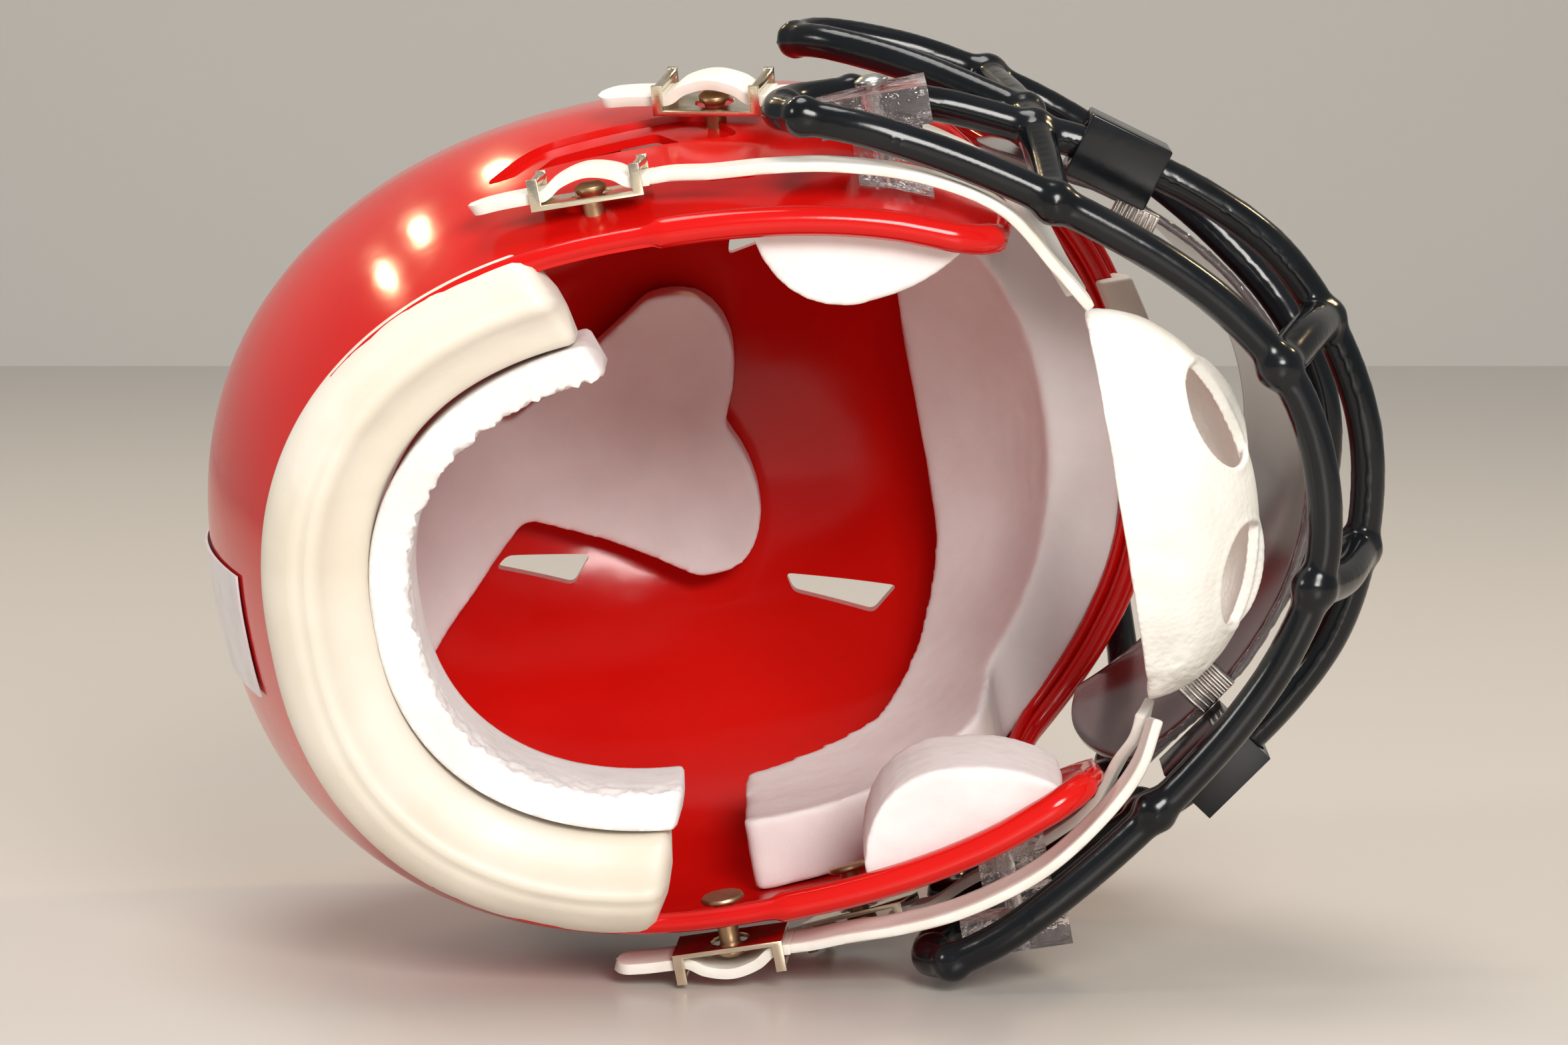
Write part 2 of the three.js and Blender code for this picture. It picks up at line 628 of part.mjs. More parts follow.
function buildBuckle(frame) {
  const { halfLength, halfWidth, plate, barRadius, barLift } = BUCKLE;
  const low = PLATE_LIFT;
  const cheek = 0.7;
  const top = low + barLift + barRadius;
  let solid = box([-halfLength, -halfWidth, low], [halfLength, halfWidth, low + plate])
    .subtract(rod(2.9, new THREE.Vector3(), LATERAL, low - 1, low + 2));
  for (const end of [-1, 1]) {
    const x = end * (halfLength - barRadius);
    solid = solid.add(rod(barRadius, new THREE.Vector3(x, -halfWidth, low + barLift),
      new THREE.Vector3(0, 1, 0), 0, 2 * halfWidth));
    for (const edge of [-1, 1]) {
      const inner = edge * (halfWidth - cheek);
      const outer = edge * halfWidth;
      solid = solid.add(box([x - barRadius, Math.min(inner, outer), low],
        [x + barRadius, Math.max(inner, outer), top]));
    }
  }
  return solid.transform(frame.elements);
}

// Height of the strap's centre line over the shell inside a buckle, from the tail forwards.
const UNDER_BAR = PLATE_LIFT + BUCKLE.plate + GAP + STRAP.thickness / 2 + 0.1;
const LOOP = [
  [-17, UNDER_BAR - 0.5], [-12.5, UNDER_BAR - 0.1], [-8.4, UNDER_BAR], [-6.2, UNDER_BAR + 0.1],
  [-3.9, 5.3], [0, 6.2], [3.9, 5.3], [6.2, UNDER_BAR + 0.1], [8.8, UNDER_BAR],
];

const STRAP_START = [[8.8 + 2 * GAP, UNDER_BAR], [11.5, UNDER_BAR]];

function onBuckle(frame, run) {
  return run.map(([x, h]) => new THREE.Vector3(x, 0, h).applyMatrix4(frame).toArray());
}

// The end of a strap: it passes under both bars of its buckle and humps over the snap post.
function strapLoop(frame, width) {
  const across = new THREE.Vector3().setFromMatrixColumn(frame, 1).toArray();
  return ribbon(onBuckle(frame, LOOP), across, 20, width);
}

const lowerFrame = buckleFrame(lowerPost, [1, -0.1, 0]);
const upperFrame = buckleFrame(upperPost, [1, -0.3, 0]);

function lowerStrap(side) {
  const end = CUP.z * side;
  return ribbon([
    ...onBuckle(lowerFrame, STRAP_START),
    [6, 5.6, 55.8], [14, 4, 55.4], [23, 3, 54.2], [35, 3, 50.4], [45, 3.6, 44],
    [51, 5, 36.5 + end], [54.5, 6.5, CUP.halfWidth + 2 + end],
  ], [0, 1, 0], 24);
}

function upperStrap(side) {
  const end = CUP.z * side;
  return ribbon([
    ...onBuckle(upperFrame, STRAP_START),
    [24, 30.6, 58.6], [31, 28.4, 55.6], [38, 25, 52], [44, 21.5, 47.6], [49, 18, 40.5],
    [52, 15.5, 34.5 + end], [53.6, 14.2, CUP.halfWidth + 2 + end],
  ], [0.25, 1, 0.12], 24, UPPER_STRAP_WIDTH);
}

for (const { side, name } of bothSides) {
  place(`snap_post_lower_${name}`, onSide(buildPost(lowerPost), side), METAL());
  place(`snap_post_upper_${name}`, onSide(buildPost(upperPost), side), METAL());
  place(`buckle_lower_${name}`, onSide(buildBuckle(lowerFrame), side), METAL());
  place(`buckle_upper_${name}`, onSide(buildBuckle(upperFrame), side), METAL());
  place(`strap_lower_${name}`, onSide(lowerStrap(side), side), WHITE_VINYL());
  place(`strap_upper_${name}`, onSide(upperStrap(side), side), WHITE_VINYL());
  place(`strap_loop_lower_${name}`, onSide(strapLoop(lowerFrame, STRAP.width), side), WHITE_VINYL());
  place(`strap_loop_upper_${name}`, onSide(strapLoop(upperFrame, UPPER_STRAP_WIDTH), side),
    WHITE_VINYL());
}

// ---- plain label on the back ----------------------------------------------------------
place('rear_label', layer(-GAP - 0.6, -GAP, 10)
  .intersect(box([-95, 14, -9], [-50, 64, 9])), PLAIN_LABEL());

// ---- laid on its left side, centred over the origin and standing on z = 0 -------------
const roll = new THREE.Group();
roll.rotation.y = -THREE.MathUtils.degToRad(ROLL);
roll.add(helmet);
const lying = new THREE.Group();
lying.rotation.x = THREE.MathUtils.degToRad(TILT);
lying.add(roll);
lying.updateMatrixWorld(true);
const extent = new THREE.Box3().setFromObject(lying, true);
const centre = extent.getCenter(new THREE.Vector3());
lying.position.set(-centre.x, -centre.y, -extent.min.z);

const part = new THREE.Group();
part.add(lying);

export default part;
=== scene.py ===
# %% [markdown]
# # A half-scale american football helmet
# The helmet lies on its left side, so its open underside faces the camera. Every piece is
# modelled upright in the helmet's own axes, in millimetres, because that is how a shell
# maker draws one: x forward, y up through the crown, z towards the wearer's right. One
# matrix then lays the finished piece on the table, in metres, where its CAD solid lies.

# %% Load the frame
import json
import math

import bpy
from mathutils import Matrix, Vector, noise


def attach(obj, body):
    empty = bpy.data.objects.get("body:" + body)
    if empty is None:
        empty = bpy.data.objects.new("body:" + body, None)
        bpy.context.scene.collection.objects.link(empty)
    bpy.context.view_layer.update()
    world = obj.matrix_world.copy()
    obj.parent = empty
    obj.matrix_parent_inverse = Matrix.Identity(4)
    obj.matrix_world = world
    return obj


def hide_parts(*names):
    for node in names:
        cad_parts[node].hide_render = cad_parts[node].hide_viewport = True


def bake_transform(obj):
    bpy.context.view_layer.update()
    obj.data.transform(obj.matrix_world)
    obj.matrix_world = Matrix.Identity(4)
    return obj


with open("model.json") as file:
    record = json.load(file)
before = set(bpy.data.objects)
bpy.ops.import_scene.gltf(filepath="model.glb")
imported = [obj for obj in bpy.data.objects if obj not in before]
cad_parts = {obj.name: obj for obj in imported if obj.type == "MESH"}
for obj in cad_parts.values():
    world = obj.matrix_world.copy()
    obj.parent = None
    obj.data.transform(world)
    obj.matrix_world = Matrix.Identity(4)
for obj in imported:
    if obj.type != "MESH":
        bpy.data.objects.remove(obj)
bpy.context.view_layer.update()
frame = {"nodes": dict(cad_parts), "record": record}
NODES = frame["nodes"]
MOUNTS = {mount["name"]: mount for mount in frame["record"]["mounts"]}
ORIGIN = Vector(MOUNTS["head_cavity"]["pos_m"])
MM = 0.001
LYING = (Matrix.Translation(ORIGIN) @ Matrix.Rotation(math.radians(7), 4, "X")
         @ Matrix.Rotation(math.radians(-10), 4, "Y") @ Matrix.Scale(MM, 4))
SIDES = (("right", 1), ("left", -1))
print("helmet origin", [round(v, 4) for v in ORIGIN], "nodes", len(NODES))

# %% [markdown]
# ## Camera
# The camera comes first, so that each new piece can be judged in its frame at once. It is a
# long lens, two thirds of a metre back from the rims, looking down by five degrees. The
# floor, the wall and the lamps come last, in the cell on the studio.

# %% Camera
CAMERA_BACK = 0.664
CAMERA_DIP = math.radians(5)
CAMERA_ASIDE = 0.0064
CAMERA_ABOVE = 0.0072
view_axis = Vector((0, math.cos(CAMERA_DIP), -math.sin(CAMERA_DIP)))
view_up = Vector((0, math.sin(CAMERA_DIP), math.cos(CAMERA_DIP)))
eye = ORIGIN - view_axis * CAMERA_BACK + Vector((CAMERA_ASIDE, 0, 0)) + view_up * CAMERA_ABOVE
bpy.ops.object.camera_add(location=eye, rotation=(math.radians(90) - CAMERA_DIP, 0, 0))
camera = bpy.context.object
camera.data.lens = 109
camera.data.sensor_width = 36
bpy.context.scene.camera = camera
bpy.context.scene.view_settings.view_transform = "Standard"
print("camera at", [round(v, 3) for v in camera.location])


# %% Helpers for materials
def new_material(name):
    material = bpy.data.materials.new(name)
    material.use_nodes = True
    return material, material.node_tree, material.node_tree.nodes["Principled BSDF"]


def add_node(tree, kind, **values):
    node = tree.nodes.new(kind)
    for key, value in values.items():
        if key in node.inputs:
            node.inputs[key].default_value = value
        else:
            setattr(node, key, value)
    return node


def noise_value(tree, scale, detail=3.0, roughness=0.5, stretch=None):
    """Noise over the piece's own object coordinates, in metres."""
    texture = add_node(tree, "ShaderNodeTexNoise", Scale=scale, Detail=detail,
                       Roughness=roughness)
    coords = add_node(tree, "ShaderNodeTexCoord")
    source = coords.outputs["Object"]
    if stretch:
        mapping = add_node(tree, "ShaderNodeMapping")
        mapping.inputs["Scale"].default_value = stretch
        tree.links.new(source, mapping.inputs["Vector"])
        source = mapping.outputs["Vector"]
    tree.links.new(source, texture.inputs["Vector"])
    return texture.outputs["Fac"]


RAMP_ENDS = (0.35, 0.65)


def two_tone(tree, shader, fac, dark, light):
    """Base colour that drifts between two close tones as fac rises."""
    ramp = add_node(tree, "ShaderNodeValToRGB")
    ramp.color_ramp.elements[0].position = RAMP_ENDS[0]
    ramp.color_ramp.elements[0].color = (*dark, 1)
    ramp.color_ramp.elements[1].position = RAMP_ENDS[1]
    ramp.color_ramp.elements[1].color = (*light, 1)
    tree.links.new(fac, ramp.inputs["Fac"])
    tree.links.new(ramp.outputs["Color"], shader.inputs["Base Color"])


def varied_roughness(tree, shader, fac, low, high):
    span = add_node(tree, "ShaderNodeMapRange")
    span.inputs["To Min"].default_value = low
    span.inputs["To Max"].default_value = high
    tree.links.new(fac, span.inputs["Value"])
    tree.links.new(span.outputs["Result"], shader.inputs["Roughness"])


def add_bump(tree, shader, height, strength, distance, before=None):
    bump = add_node(tree, "ShaderNodeBump", Strength=strength, Distance=distance)
    tree.links.new(height, bump.inputs["Height"])
    if before:
        tree.links.new(before, bump.inputs["Normal"])
    tree.links.new(bump.outputs["Normal"], shader.inputs["Normal"])
    return bump.outputs["Normal"]


# %% [markdown]
# ## Gloss red, gloss black
# The shell is glossy injection-moulded plastic: saturated, with a very fine ripple that
# breaks up reflections. The guard is the same gloss in black. A coat layer would wash both
# out under pale light, so each is one smooth layer with a lowered specular level, and noise
# moves the roughness a little from place to place.

# %% Gloss plastics
def red_plastic():
    material, tree, shader = new_material("red_plastic")
    two_tone(tree, shader, noise_value(tree, 22, 2), (0.58, 0.004, 0.003), (0.66, 0.008, 0.005))
    varied_roughness(tree, shader, noise_value(tree, 160, 4), 0.10, 0.17)
    shader.inputs["Specular IOR Level"].default_value = 0.34
    ripple = add_bump(tree, shader, noise_value(tree, 150, 2), 0.10, 0.0004)
    add_bump(tree, shader, noise_value(tree, 1900, 1), 0.03, 0.0001, ripple)
    return material


def black_plastic():
    material, tree, shader = new_material("black_plastic")
    two_tone(tree, shader, noise_value(tree, 60, 3), (0.003, 0.004, 0.005), (0.007, 0.008, 0.010))
    varied_roughness(tree, shader, noise_value(tree, 220, 5), 0.12, 0.24)
    shader.inputs["Specular IOR Level"].default_value = 0.36
    add_bump(tree, shader, noise_value(tree, 300, 3), 0.10, 0.0004)
    return material


RED = red_plastic()
BLACK = black_plastic()


# %% [markdown]
# ## Foams and vinyls
# Cut foam scatters light inside itself and shows fine pores, so it gets a little
# subsurface light and two sizes of pore in its bump. The neck bumper is cream vinyl with a
# satin sheen. The cup is leatherette with stamped dimples, and the straps are smooth vinyl.

# %% Foam and vinyl materials
def foam(name, dark, light, pore_strength):
    material, tree, shader = new_material(name)
    two_tone(tree, shader, noise_value(tree, 90, 4), dark, light)
    shader.inputs["Roughness"].default_value = 0.88
    shader.inputs["Subsurface Weight"].default_value = 0.25
    shader.inputs["Subsurface Radius"].default_value = (1.0, 0.55, 0.5)
    shader.inputs["Subsurface Scale"].default_value = 0.002
    shader.inputs["Specular IOR Level"].default_value = 0.3
    soft = add_bump(tree, shader, noise_value(tree, 330, 3), pore_strength, 0.0006)
    add_bump(tree, shader, noise_value(tree, 2300, 2, 0.7), pore_strength, 0.00018, soft)
    return material


def cream_vinyl():
    material, tree, shader = new_material("cream_vinyl")
    two_tone(tree, shader, noise_value(tree, 38, 4), (0.72, 0.65, 0.53), (0.80, 0.74, 0.64))
    varied_roughness(tree, shader, noise_value(tree, 300, 3), 0.38, 0.52)
    shader.inputs["Sheen Weight"].default_value = 0.15
    folds = add_bump(tree, shader, noise_value(tree, 120, 3), 0.12, 0.0012)
    add_bump(tree, shader, noise_value(tree, 1900, 2), 0.14, 0.0001, folds)
    return material


def dimpled_leatherette():
    """White leatherette: stamped dimples about 0.9 mm apart, on a faintly creased sheet."""
    material, tree, shader = new_material("dimpled_leatherette")
    two_tone(tree, shader, noise_value(tree, 70, 4), (0.80, 0.77, 0.70), (0.88, 0.86, 0.81))
    varied_roughness(tree, shader, noise_value(tree, 400, 2), 0.5, 0.66)
    cells = add_node(tree, "ShaderNodeTexVoronoi", Scale=1150)
    coords = add_node(tree, "ShaderNodeTexCoord")
    tree.links.new(coords.outputs["Object"], cells.inputs["Vector"])
    creases = add_bump(tree, shader, noise_value(tree, 240, 4, 0.6), 0.25, 0.0008)
    add_bump(tree, shader, cells.outputs["Distance"], 0.35, 0.00022, creases)
    return material


def strap_vinyl():
    material, tree, shader = new_material("strap_vinyl")
    two_tone(tree, shader, noise_value(tree, 120, 3), (0.78, 0.73, 0.65), (0.86, 0.83, 0.77))
    varied_roughness(tree, shader, noise_value(tree, 500, 2), 0.42, 0.6)
    waves = add_bump(tree, shader, noise_value(tree, 300, 2), 0.15, 0.0006)
    add_bump(tree, shader, noise_value(tree, 2400, 2), 0.2, 0.0001, waves)
    return material


def plain_film():
    material, tree, shader = new_material("plain_film")
    two_tone(tree, shader, noise_value(tree, 140, 4), (0.72, 0.69, 0.72), (0.82, 0.80, 0.83))
    shader.inputs["Roughness"].default_value = 0.4
    shader.inputs["Coat Weight"].default_value = 0.3
    add_bump(tree, shader, noise_value(tree, 350, 3), 0.2, 0.0004)
    return material


PAD_FOAM = foam("pad_foam", (0.84, 0.77, 0.76), (0.90, 0.84, 0.83), 0.16)
CUT_FOAM = foam("cut_foam", (0.83, 0.79, 0.77), (0.91, 0.88, 0.87), 0.40)
CREAM = cream_vinyl()
LEATHERETTE = dimpled_leatherette()
STRAP_VINYL = strap_vinyl()
FILM = plain_film()


# %% [markdown]
# ## Metals and clear plastics
# The buckles are thin plated sheet that picks up warm light, with fine scratches. The snaps
# are dull brass. The visor is smoke-grey sheet that both tints and reflects; the loop clips
# are clear plastic with a crinkled inside, which a strong bump under a clear shader shows.

# %% Metals and clear plastics
def metal(name, dark, light, rough_low, rough_high, stretch=(1, 1, 1)):
    material, tree, shader = new_material(name)
    shader.inputs["Metallic"].default_value = 1
    two_tone(tree, shader, noise_value(tree, 170, 4), dark, light)
    scratch = noise_value(tree, 900, 3, 0.6, stretch)
    varied_roughness(tree, shader, scratch, rough_low, rough_high)
    add_bump(tree, shader, scratch, 0.12, 0.0001)
    return material


def clear_plastic(name, tint, roughness, bump_scale, bump_strength):
    material, tree, shader = new_material(name)
    two_tone(tree, shader, noise_value(tree, 80, 2), [v * 0.93 for v in tint], tint)
    shader.inputs["Roughness"].default_value = roughness
    shader.inputs["Transmission Weight"].default_value = 0.94
    shader.inputs["IOR"].default_value = 1.46
    add_bump(tree, shader, noise_value(tree, bump_scale, 3), bump_strength, 0.0006)
    return material


PLATED = metal("plated_sheet", (0.72, 0.62, 0.46), (0.86, 0.78, 0.64), 0.12, 0.30, (1, 1, 6))
BRASS = metal("snap_brass", (0.40, 0.27, 0.15), (0.58, 0.42, 0.26), 0.32, 0.55)
STEEL = metal("plated_steel", (0.50, 0.49, 0.47), (0.66, 0.65, 0.62), 0.18, 0.34)
SILVER = metal("ribbed_silver", (0.62, 0.56, 0.52), (0.80, 0.76, 0.72), 0.16, 0.34)
SMOKE = clear_plastic("smoke_plastic", (0.27, 0.215, 0.24), 0.14, 60, 0.05)
CLEAR = clear_plastic("crinkled_clear", (0.93, 0.86, 0.86), 0.08, 520, 0.8)


# %% [markdown]
# ## Modelling helpers
# These few tools do what a modeller's hands do again and again: pick one object, add a
# modifier and apply it, cut one solid with another, sweep a round bar or a flat strap along
# a path, and finally lay the piece on the table and hand it to its body.

# %% Object helpers
def only(obj):
    bpy.ops.object.select_all(action="DESELECT")
    obj.select_set(True)
    bpy.context.view_layer.objects.active = obj


def apply_modifier(obj, kind, **values):
    only(obj)
    modifier = obj.modifiers.new(kind.title(), kind)
    for key, value in values.items():
        setattr(modifier, key, value)
    bpy.ops.object.modifier_apply(modifier=modifier.name)


def boolean(obj, other, operation="DIFFERENCE"):
    """Cuts, joins or intersects obj with other, and then throws other away."""
    apply_modifier(obj, "BOOLEAN", object=other, operation=operation, solver="EXACT")
    bpy.data.objects.remove(other)


def join(objects):
    only(objects[0])
    for other in objects[1:]:
        other.select_set(True)
    bpy.ops.object.join()
    return bpy.context.object


def duplicate(obj, name):
    """A new object with its own copy of the mesh, at the origin as every piece here is."""
    twin = bpy.data.objects.new(name, obj.data.copy())
    bpy.context.collection.objects.link(twin)
    return twin


def edit(obj, *steps):
    only(obj)
    bpy.ops.object.mode_set(mode="EDIT")
    bpy.ops.mesh.select_all(action="SELECT")
    for step in steps:
        step()
    bpy.ops.object.mode_set(mode="OBJECT")


def tidy_normals(obj, merge=0.01):
    edit(obj, lambda: bpy.ops.mesh.remove_doubles(threshold=merge),
         lambda: bpy.ops.mesh.normals_make_consistent(inside=False))


def mirror_left(obj, name):
    """The left-hand twin of a right-hand piece, with its faces turned outwards again."""
    twin = duplicate(obj, name)
    twin.data.transform(Matrix.Scale(-1, 4, Vector((0, 0, 1))))
    edit(twin, lambda: bpy.ops.mesh.flip_normals())
    return twin


def smooth(obj, angle=None):
    only(obj)
    if angle is None:
        bpy.ops.object.shade_smooth()
    else:
        bpy.ops.object.shade_smooth_by_angle(angle=math.radians(angle))


def finish_piece(obj, name, material, body, nodes):
    """Lays a finished piece on the table and hands it to its body; a body given as more than a name
    is left unattached.
    """
    obj.name = name
    obj.data.name = name
    obj.data.transform(LYING)
    obj.data.materials.clear()
    obj.data.materials.append(material)
    if isinstance(body, str):
        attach(obj, body)
    else:
        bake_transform(obj)
    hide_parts(*nodes)
    print(name, len(obj.data.polygons), "faces")


# %% Sweeps along paths
def smooth_path(points, count):
    """Points evenly spread on a centripetal Catmull-Rom curve through the given points."""
    knots = [Vector(p) for p in points]
    knots = [knots[0] * 2 - knots[1]] + knots + [knots[-1] * 2 - knots[-2]]
    dense = []
    for a, b, c, d in zip(knots, knots[1:], knots[2:], knots[3:]):
        t1 = max((b - a).length ** 0.5, 1e-6)
        t2 = t1 + max((c - b).length ** 0.5, 1e-6)
        t3 = t2 + max((d - c).length ** 0.5, 1e-6)
        for step in range(16):
            t = t1 + (t2 - t1) * step / 16
            ab = a.lerp(b, t / t1)
            bc = b.lerp(c, (t - t1) / (t2 - t1))
            cd = c.lerp(d, (t - t2) / (t3 - t2))
            abc = ab.lerp(bc, t / t2)
            bcd = bc.lerp(cd, (t - t1) / (t3 - t1))
            dense.append(abc.lerp(bcd, (t - t1) / (t2 - t1)))
    dense.append(knots[-2])
    return respaced(dense, count)


def respaced(points, count):
    lengths = [0.0]
    for a, b in zip(points, points[1:]):
        lengths.append(lengths[-1] + (b - a).length)
    out = []
    index = 0
    for step in range(count):
        target = lengths[-1] * step / (count - 1)
        while index < len(points) - 2 and lengths[index + 1] < target:
            index += 1
        span = lengths[index + 1] - lengths[index]
        share = (target - lengths[index]) / span if span > 0 else 0
        out.append(points[index].lerp(points[index + 1], min(max(share, 0), 1)))
    return out


def round_bar(points, radius, sides=12, radii=None, closed=False):
    """A round bar along the points, made from a curve with a bevel."""
    bpy.ops.object.select_all(action="DESELECT")
    bpy.ops.curve.primitive_nurbs_path_add(radius=1, location=(0, 0, 0))
    curve = bpy.context.object
    curve.data.splines.clear()
    spline = curve.data.splines.new("POLY")
    spline.points.add(len(points) - 1)
    for place, point in enumerate(points):
        spline.points[place].co = (*point, 1)
        spline.points[place].radius = radii[place] if radii else 1
    spline.use_cyclic_u = closed
    curve.data.bevel_depth = radius
    curve.data.bevel_resolution = max(0, sides // 4 - 1)
    curve.data.use_fill_caps = not closed
    curve.data.twist_mode = "MINIMUM"
    bpy.ops.object.convert(target="MESH")
    return bpy.context.object


def ball(centre, radius, scale=(1, 1, 1), segments=20):
    bpy.ops.object.select_all(action="DESELECT")
    bpy.ops.mesh.primitive_uv_sphere_add(segments=segments, ring_count=segments // 2,
                                         radius=radius, location=centre)
    obj = bpy.context.object
    obj.scale = scale
    bpy.ops.object.transform_apply(location=True, rotation=True, scale=True)
    return obj


STRAP_CROWN = 0.12


def strap_band(points, across, width, thickness, count=80, widths=None):
    """A flat strap with rounded edges along the points; across is its width direction."""
    columns = 6
    bpy.ops.object.select_all(action="DESELECT")
    bpy.ops.mesh.primitive_grid_add(x_subdivisions=columns, y_subdivisions=count - 1, size=2)
    band = bpy.context.object
    path = smooth_path(points, count)
    tangents = [(path[min(i + 1, count - 1)] - path[max(i - 1, 0)]).normalized()
                for i in range(count)]
    for vertex in band.data.vertices:
        row = round((vertex.co.y + 1) / 2 * (count - 1))
        edge = vertex.co.x
        side = Vector(across) - tangents[row] * Vector(across).dot(tangents[row])
        side.normalize()
        face = tangents[row].cross(side)
        wide = width * (widths(row / (count - 1)) if widths else 1)
        vertex.co = path[row] + side * (edge * wide / 2) - face * (STRAP_CROWN * edge * edge)
    apply_modifier(band, "SOLIDIFY", thickness=thickness, offset=0)
    apply_modifier(band, "BEVEL", width=thickness * 0.28, segments=2, limit_method="ANGLE",
                   angle_limit=math.radians(50))
    tidy_normals(band, 0.001)
    smooth(band, 45)
    return band


def outline_solid(outline, low, high, axis="z"):
    """A prism for cutting: its outline is (x, y) along z, or (x, z) along y."""
    bpy.ops.object.select_all(action="DESELECT")
    bpy.ops.mesh.primitive_circle_add(vertices=len(outline), radius=1, fill_type="NGON")
    prism = bpy.context.object
    for vertex, (a, b) in zip(prism.data.vertices, outline):
        vertex.co = (a, b, low) if axis == "z" else (a, low, b)
    rise = (0, 0, high - low) if axis == "z" else (0, high - low, 0)
    edit(prism, lambda: bpy.ops.mesh.extrude_region_move(
        TRANSFORM_OT_translate={"value": rise}))
    tidy_normals(prism, 0.0001)
    return prism


def rounded(points, radius=1.5, steps=4):
    """An outline with each corner replaced by a short curve."""
    out = []
    count = len(points)
    for place in range(count):
        before = Vector(points[place - 1])
        corner = Vector(points[place])
        after = Vector(points[(place + 1) % count])
        reach = min(radius, (before - corner).length * 0.45, (after - corner).length * 0.45)
        start = corner + (before - corner).normalized() * reach
        end = corner + (after - corner).normalized() * reach
        for step in range(steps + 1):
            t = step / steps
            point = start * (1 - t) ** 2 + corner * (2 * t * (1 - t)) + end * t * t
            out.append((point.x, point.y))
    return out


def curved(start, *parts, steps=6):
    """An outline from straight and curved parts: a part with a control point is a curve."""
    out = [tuple(start)]
    for part in parts:
        if len(part) == 1:
            out.append(part[0])
            continue
        control, end = part
        first = Vector(out[-1])
        for step in range(1, steps + 1):
            t = step / steps
            point = first * (1 - t) ** 2 + Vector(control) * (2 * t * (1 - t)) + Vector(end) * t * t
            out.append((point.x, point.y))
    return out


# %% [markdown]
# ## The shell's form
# The shell has no flat and no true circle in it. Each level slice is a superellipse, a shape
# between an ellipse and a rectangle, that shrinks towards the crown and tucks in towards the
# rims. One function gives a point of it, and every piece that hugs the shell uses that
# function, so that the pads, the label and the brow bar all follow the same surface.

# %% Slices of the shell, in millimetres
MIDDLE = -6.5
HALF_LENGTH = 73.5
HALF_WIDTH = 62
CROWN = 126
WIDEST = 52
WALL = 2.4
POWER = 2.3
SIDE_TUCK = 12
NAPE_TUCK = 14
GAP = 0.3


def section(y, inset):
    upper = max(0.0, (y - WIDEST) / (CROWN - WIDEST - inset))
    shrink = max(0.0, 1 - min(1.0, upper) ** POWER) ** (1 / POWER)
    tuck = max(0.0, (WIDEST - y) / WIDEST) ** 1.5
    front = (HALF_LENGTH - inset) * shrink
    back = (HALF_LENGTH - NAPE_TUCK * tuck - inset) * shrink
    side = (HALF_WIDTH - SIDE_TUCK * tuck - inset) * shrink
    return front, back, side


def section_point(angle, y, inset):
    front, back, side = section(y, inset)
    c, s = math.cos(angle), math.sin(angle)
    length = front if c > 0 else back
    x = MIDDLE + length * math.copysign(abs(c) ** (2 / POWER), c)
    return Vector((x, y, side * math.copysign(abs(s) ** (2 / POWER), s)))


def side_face(x, y, inset=0.0):
    front, back, side = section(y, inset)
    reach = min(1.0, abs(x - MIDDLE) / (front if x > MIDDLE else back))
    return side * (1 - reach ** POWER) ** (1 / POWER)


def front_face(y, z, inset=0.0):
    front, _, side = section(y, inset)
    reach = min(1.0, abs(z) / side)
    return MIDDLE + front * (1 - reach ** POWER) ** (1 / POWER)


def dome(inset, bottom, segments=160, rings=80):
    """A closed solid inside the shell's surface moved in by inset: a sphere pushed to shape."""
    bpy.ops.object.select_all(action="DESELECT")
    bpy.ops.mesh.primitive_uv_sphere_add(segments=segments, ring_count=rings, radius=1)
    obj = bpy.context.object
    lift = CROWN - WIDEST - inset
    for vertex in obj.data.vertices:
        x, y, z = vertex.co
        angle = -math.atan2(y, x)
        latitude = math.asin(max(-1.0, min(1.0, z)))
        if latitude >= 0:
            height = WIDEST + lift * math.sin(latitude) ** (2 / POWER)
            spread = 1.0
        else:
            down = -latitude / (math.pi / 2)
            height = WIDEST - (WIDEST - bottom) * min(1.0, down / 0.8)
            spread = min(1.0, (1 - down) / 0.2)
        point = section_point(angle, height, inset)
        vertex.co = (MIDDLE + (point.x - MIDDLE) * spread, height, point.z * spread)
    return obj


def layer(outer, inner, bottom, segments=160, rings=80):
    skin = dome(outer, bottom, segments, rings)
    boolean(skin, dome(inner, bottom - 1, segments, rings))
    return skin


FACE_OPENING = curved((36, -12), ((36, 0),), ((44, 0), (45, 9)), ((45, 24),),
                      ((43, 42), (36, 54)), ((31, 66), (38, 74)), ((44, 78), (52, 79)),
                      ((95, 82),), ((95, -12),))

# %% [markdown]
# ## The shell
# A real shell is one moulding about two and a half millimetres thick, with its face opening
# and vents cut through and its rims rolled into a lip. The wall could come from Solidify,
# but cutting an inner dome from an outer one keeps both faces exactly on the form. The vents
# are prisms cut through it, the side vents sit in a sunk panel, and the lip is a bar of
# changing thickness swept along the rim, which also hides the cut edge.

# %% Shell wall, face opening and vents
shell = layer(0, WALL, 0)
boolean(shell, outline_solid(FACE_OPENING, -90, 90))

CROWN_VENTS = ([(-44.6, 17), (-42.5, 15.5), (-29.2, 18.5), (-32.8, 22.6)],
               [(2, 27), (19.9, 31), (15.3, 34.6), (2.8, 30)])
SIDE_VENTS = ([(-20, 29), (-17, 33), (-2, 35), (2, 29)],
              [(-50, 76), (-49, 80), (-38, 84), (-41, 78)],
              [(5, 12), (6.5, 15), (13, 15), (11.5, 12)])
SIDE_PANEL = [(-28, 26.5), (-20, 36.5), (4, 39.5), (11, 27)]
PANEL_DEPTH = 1.1


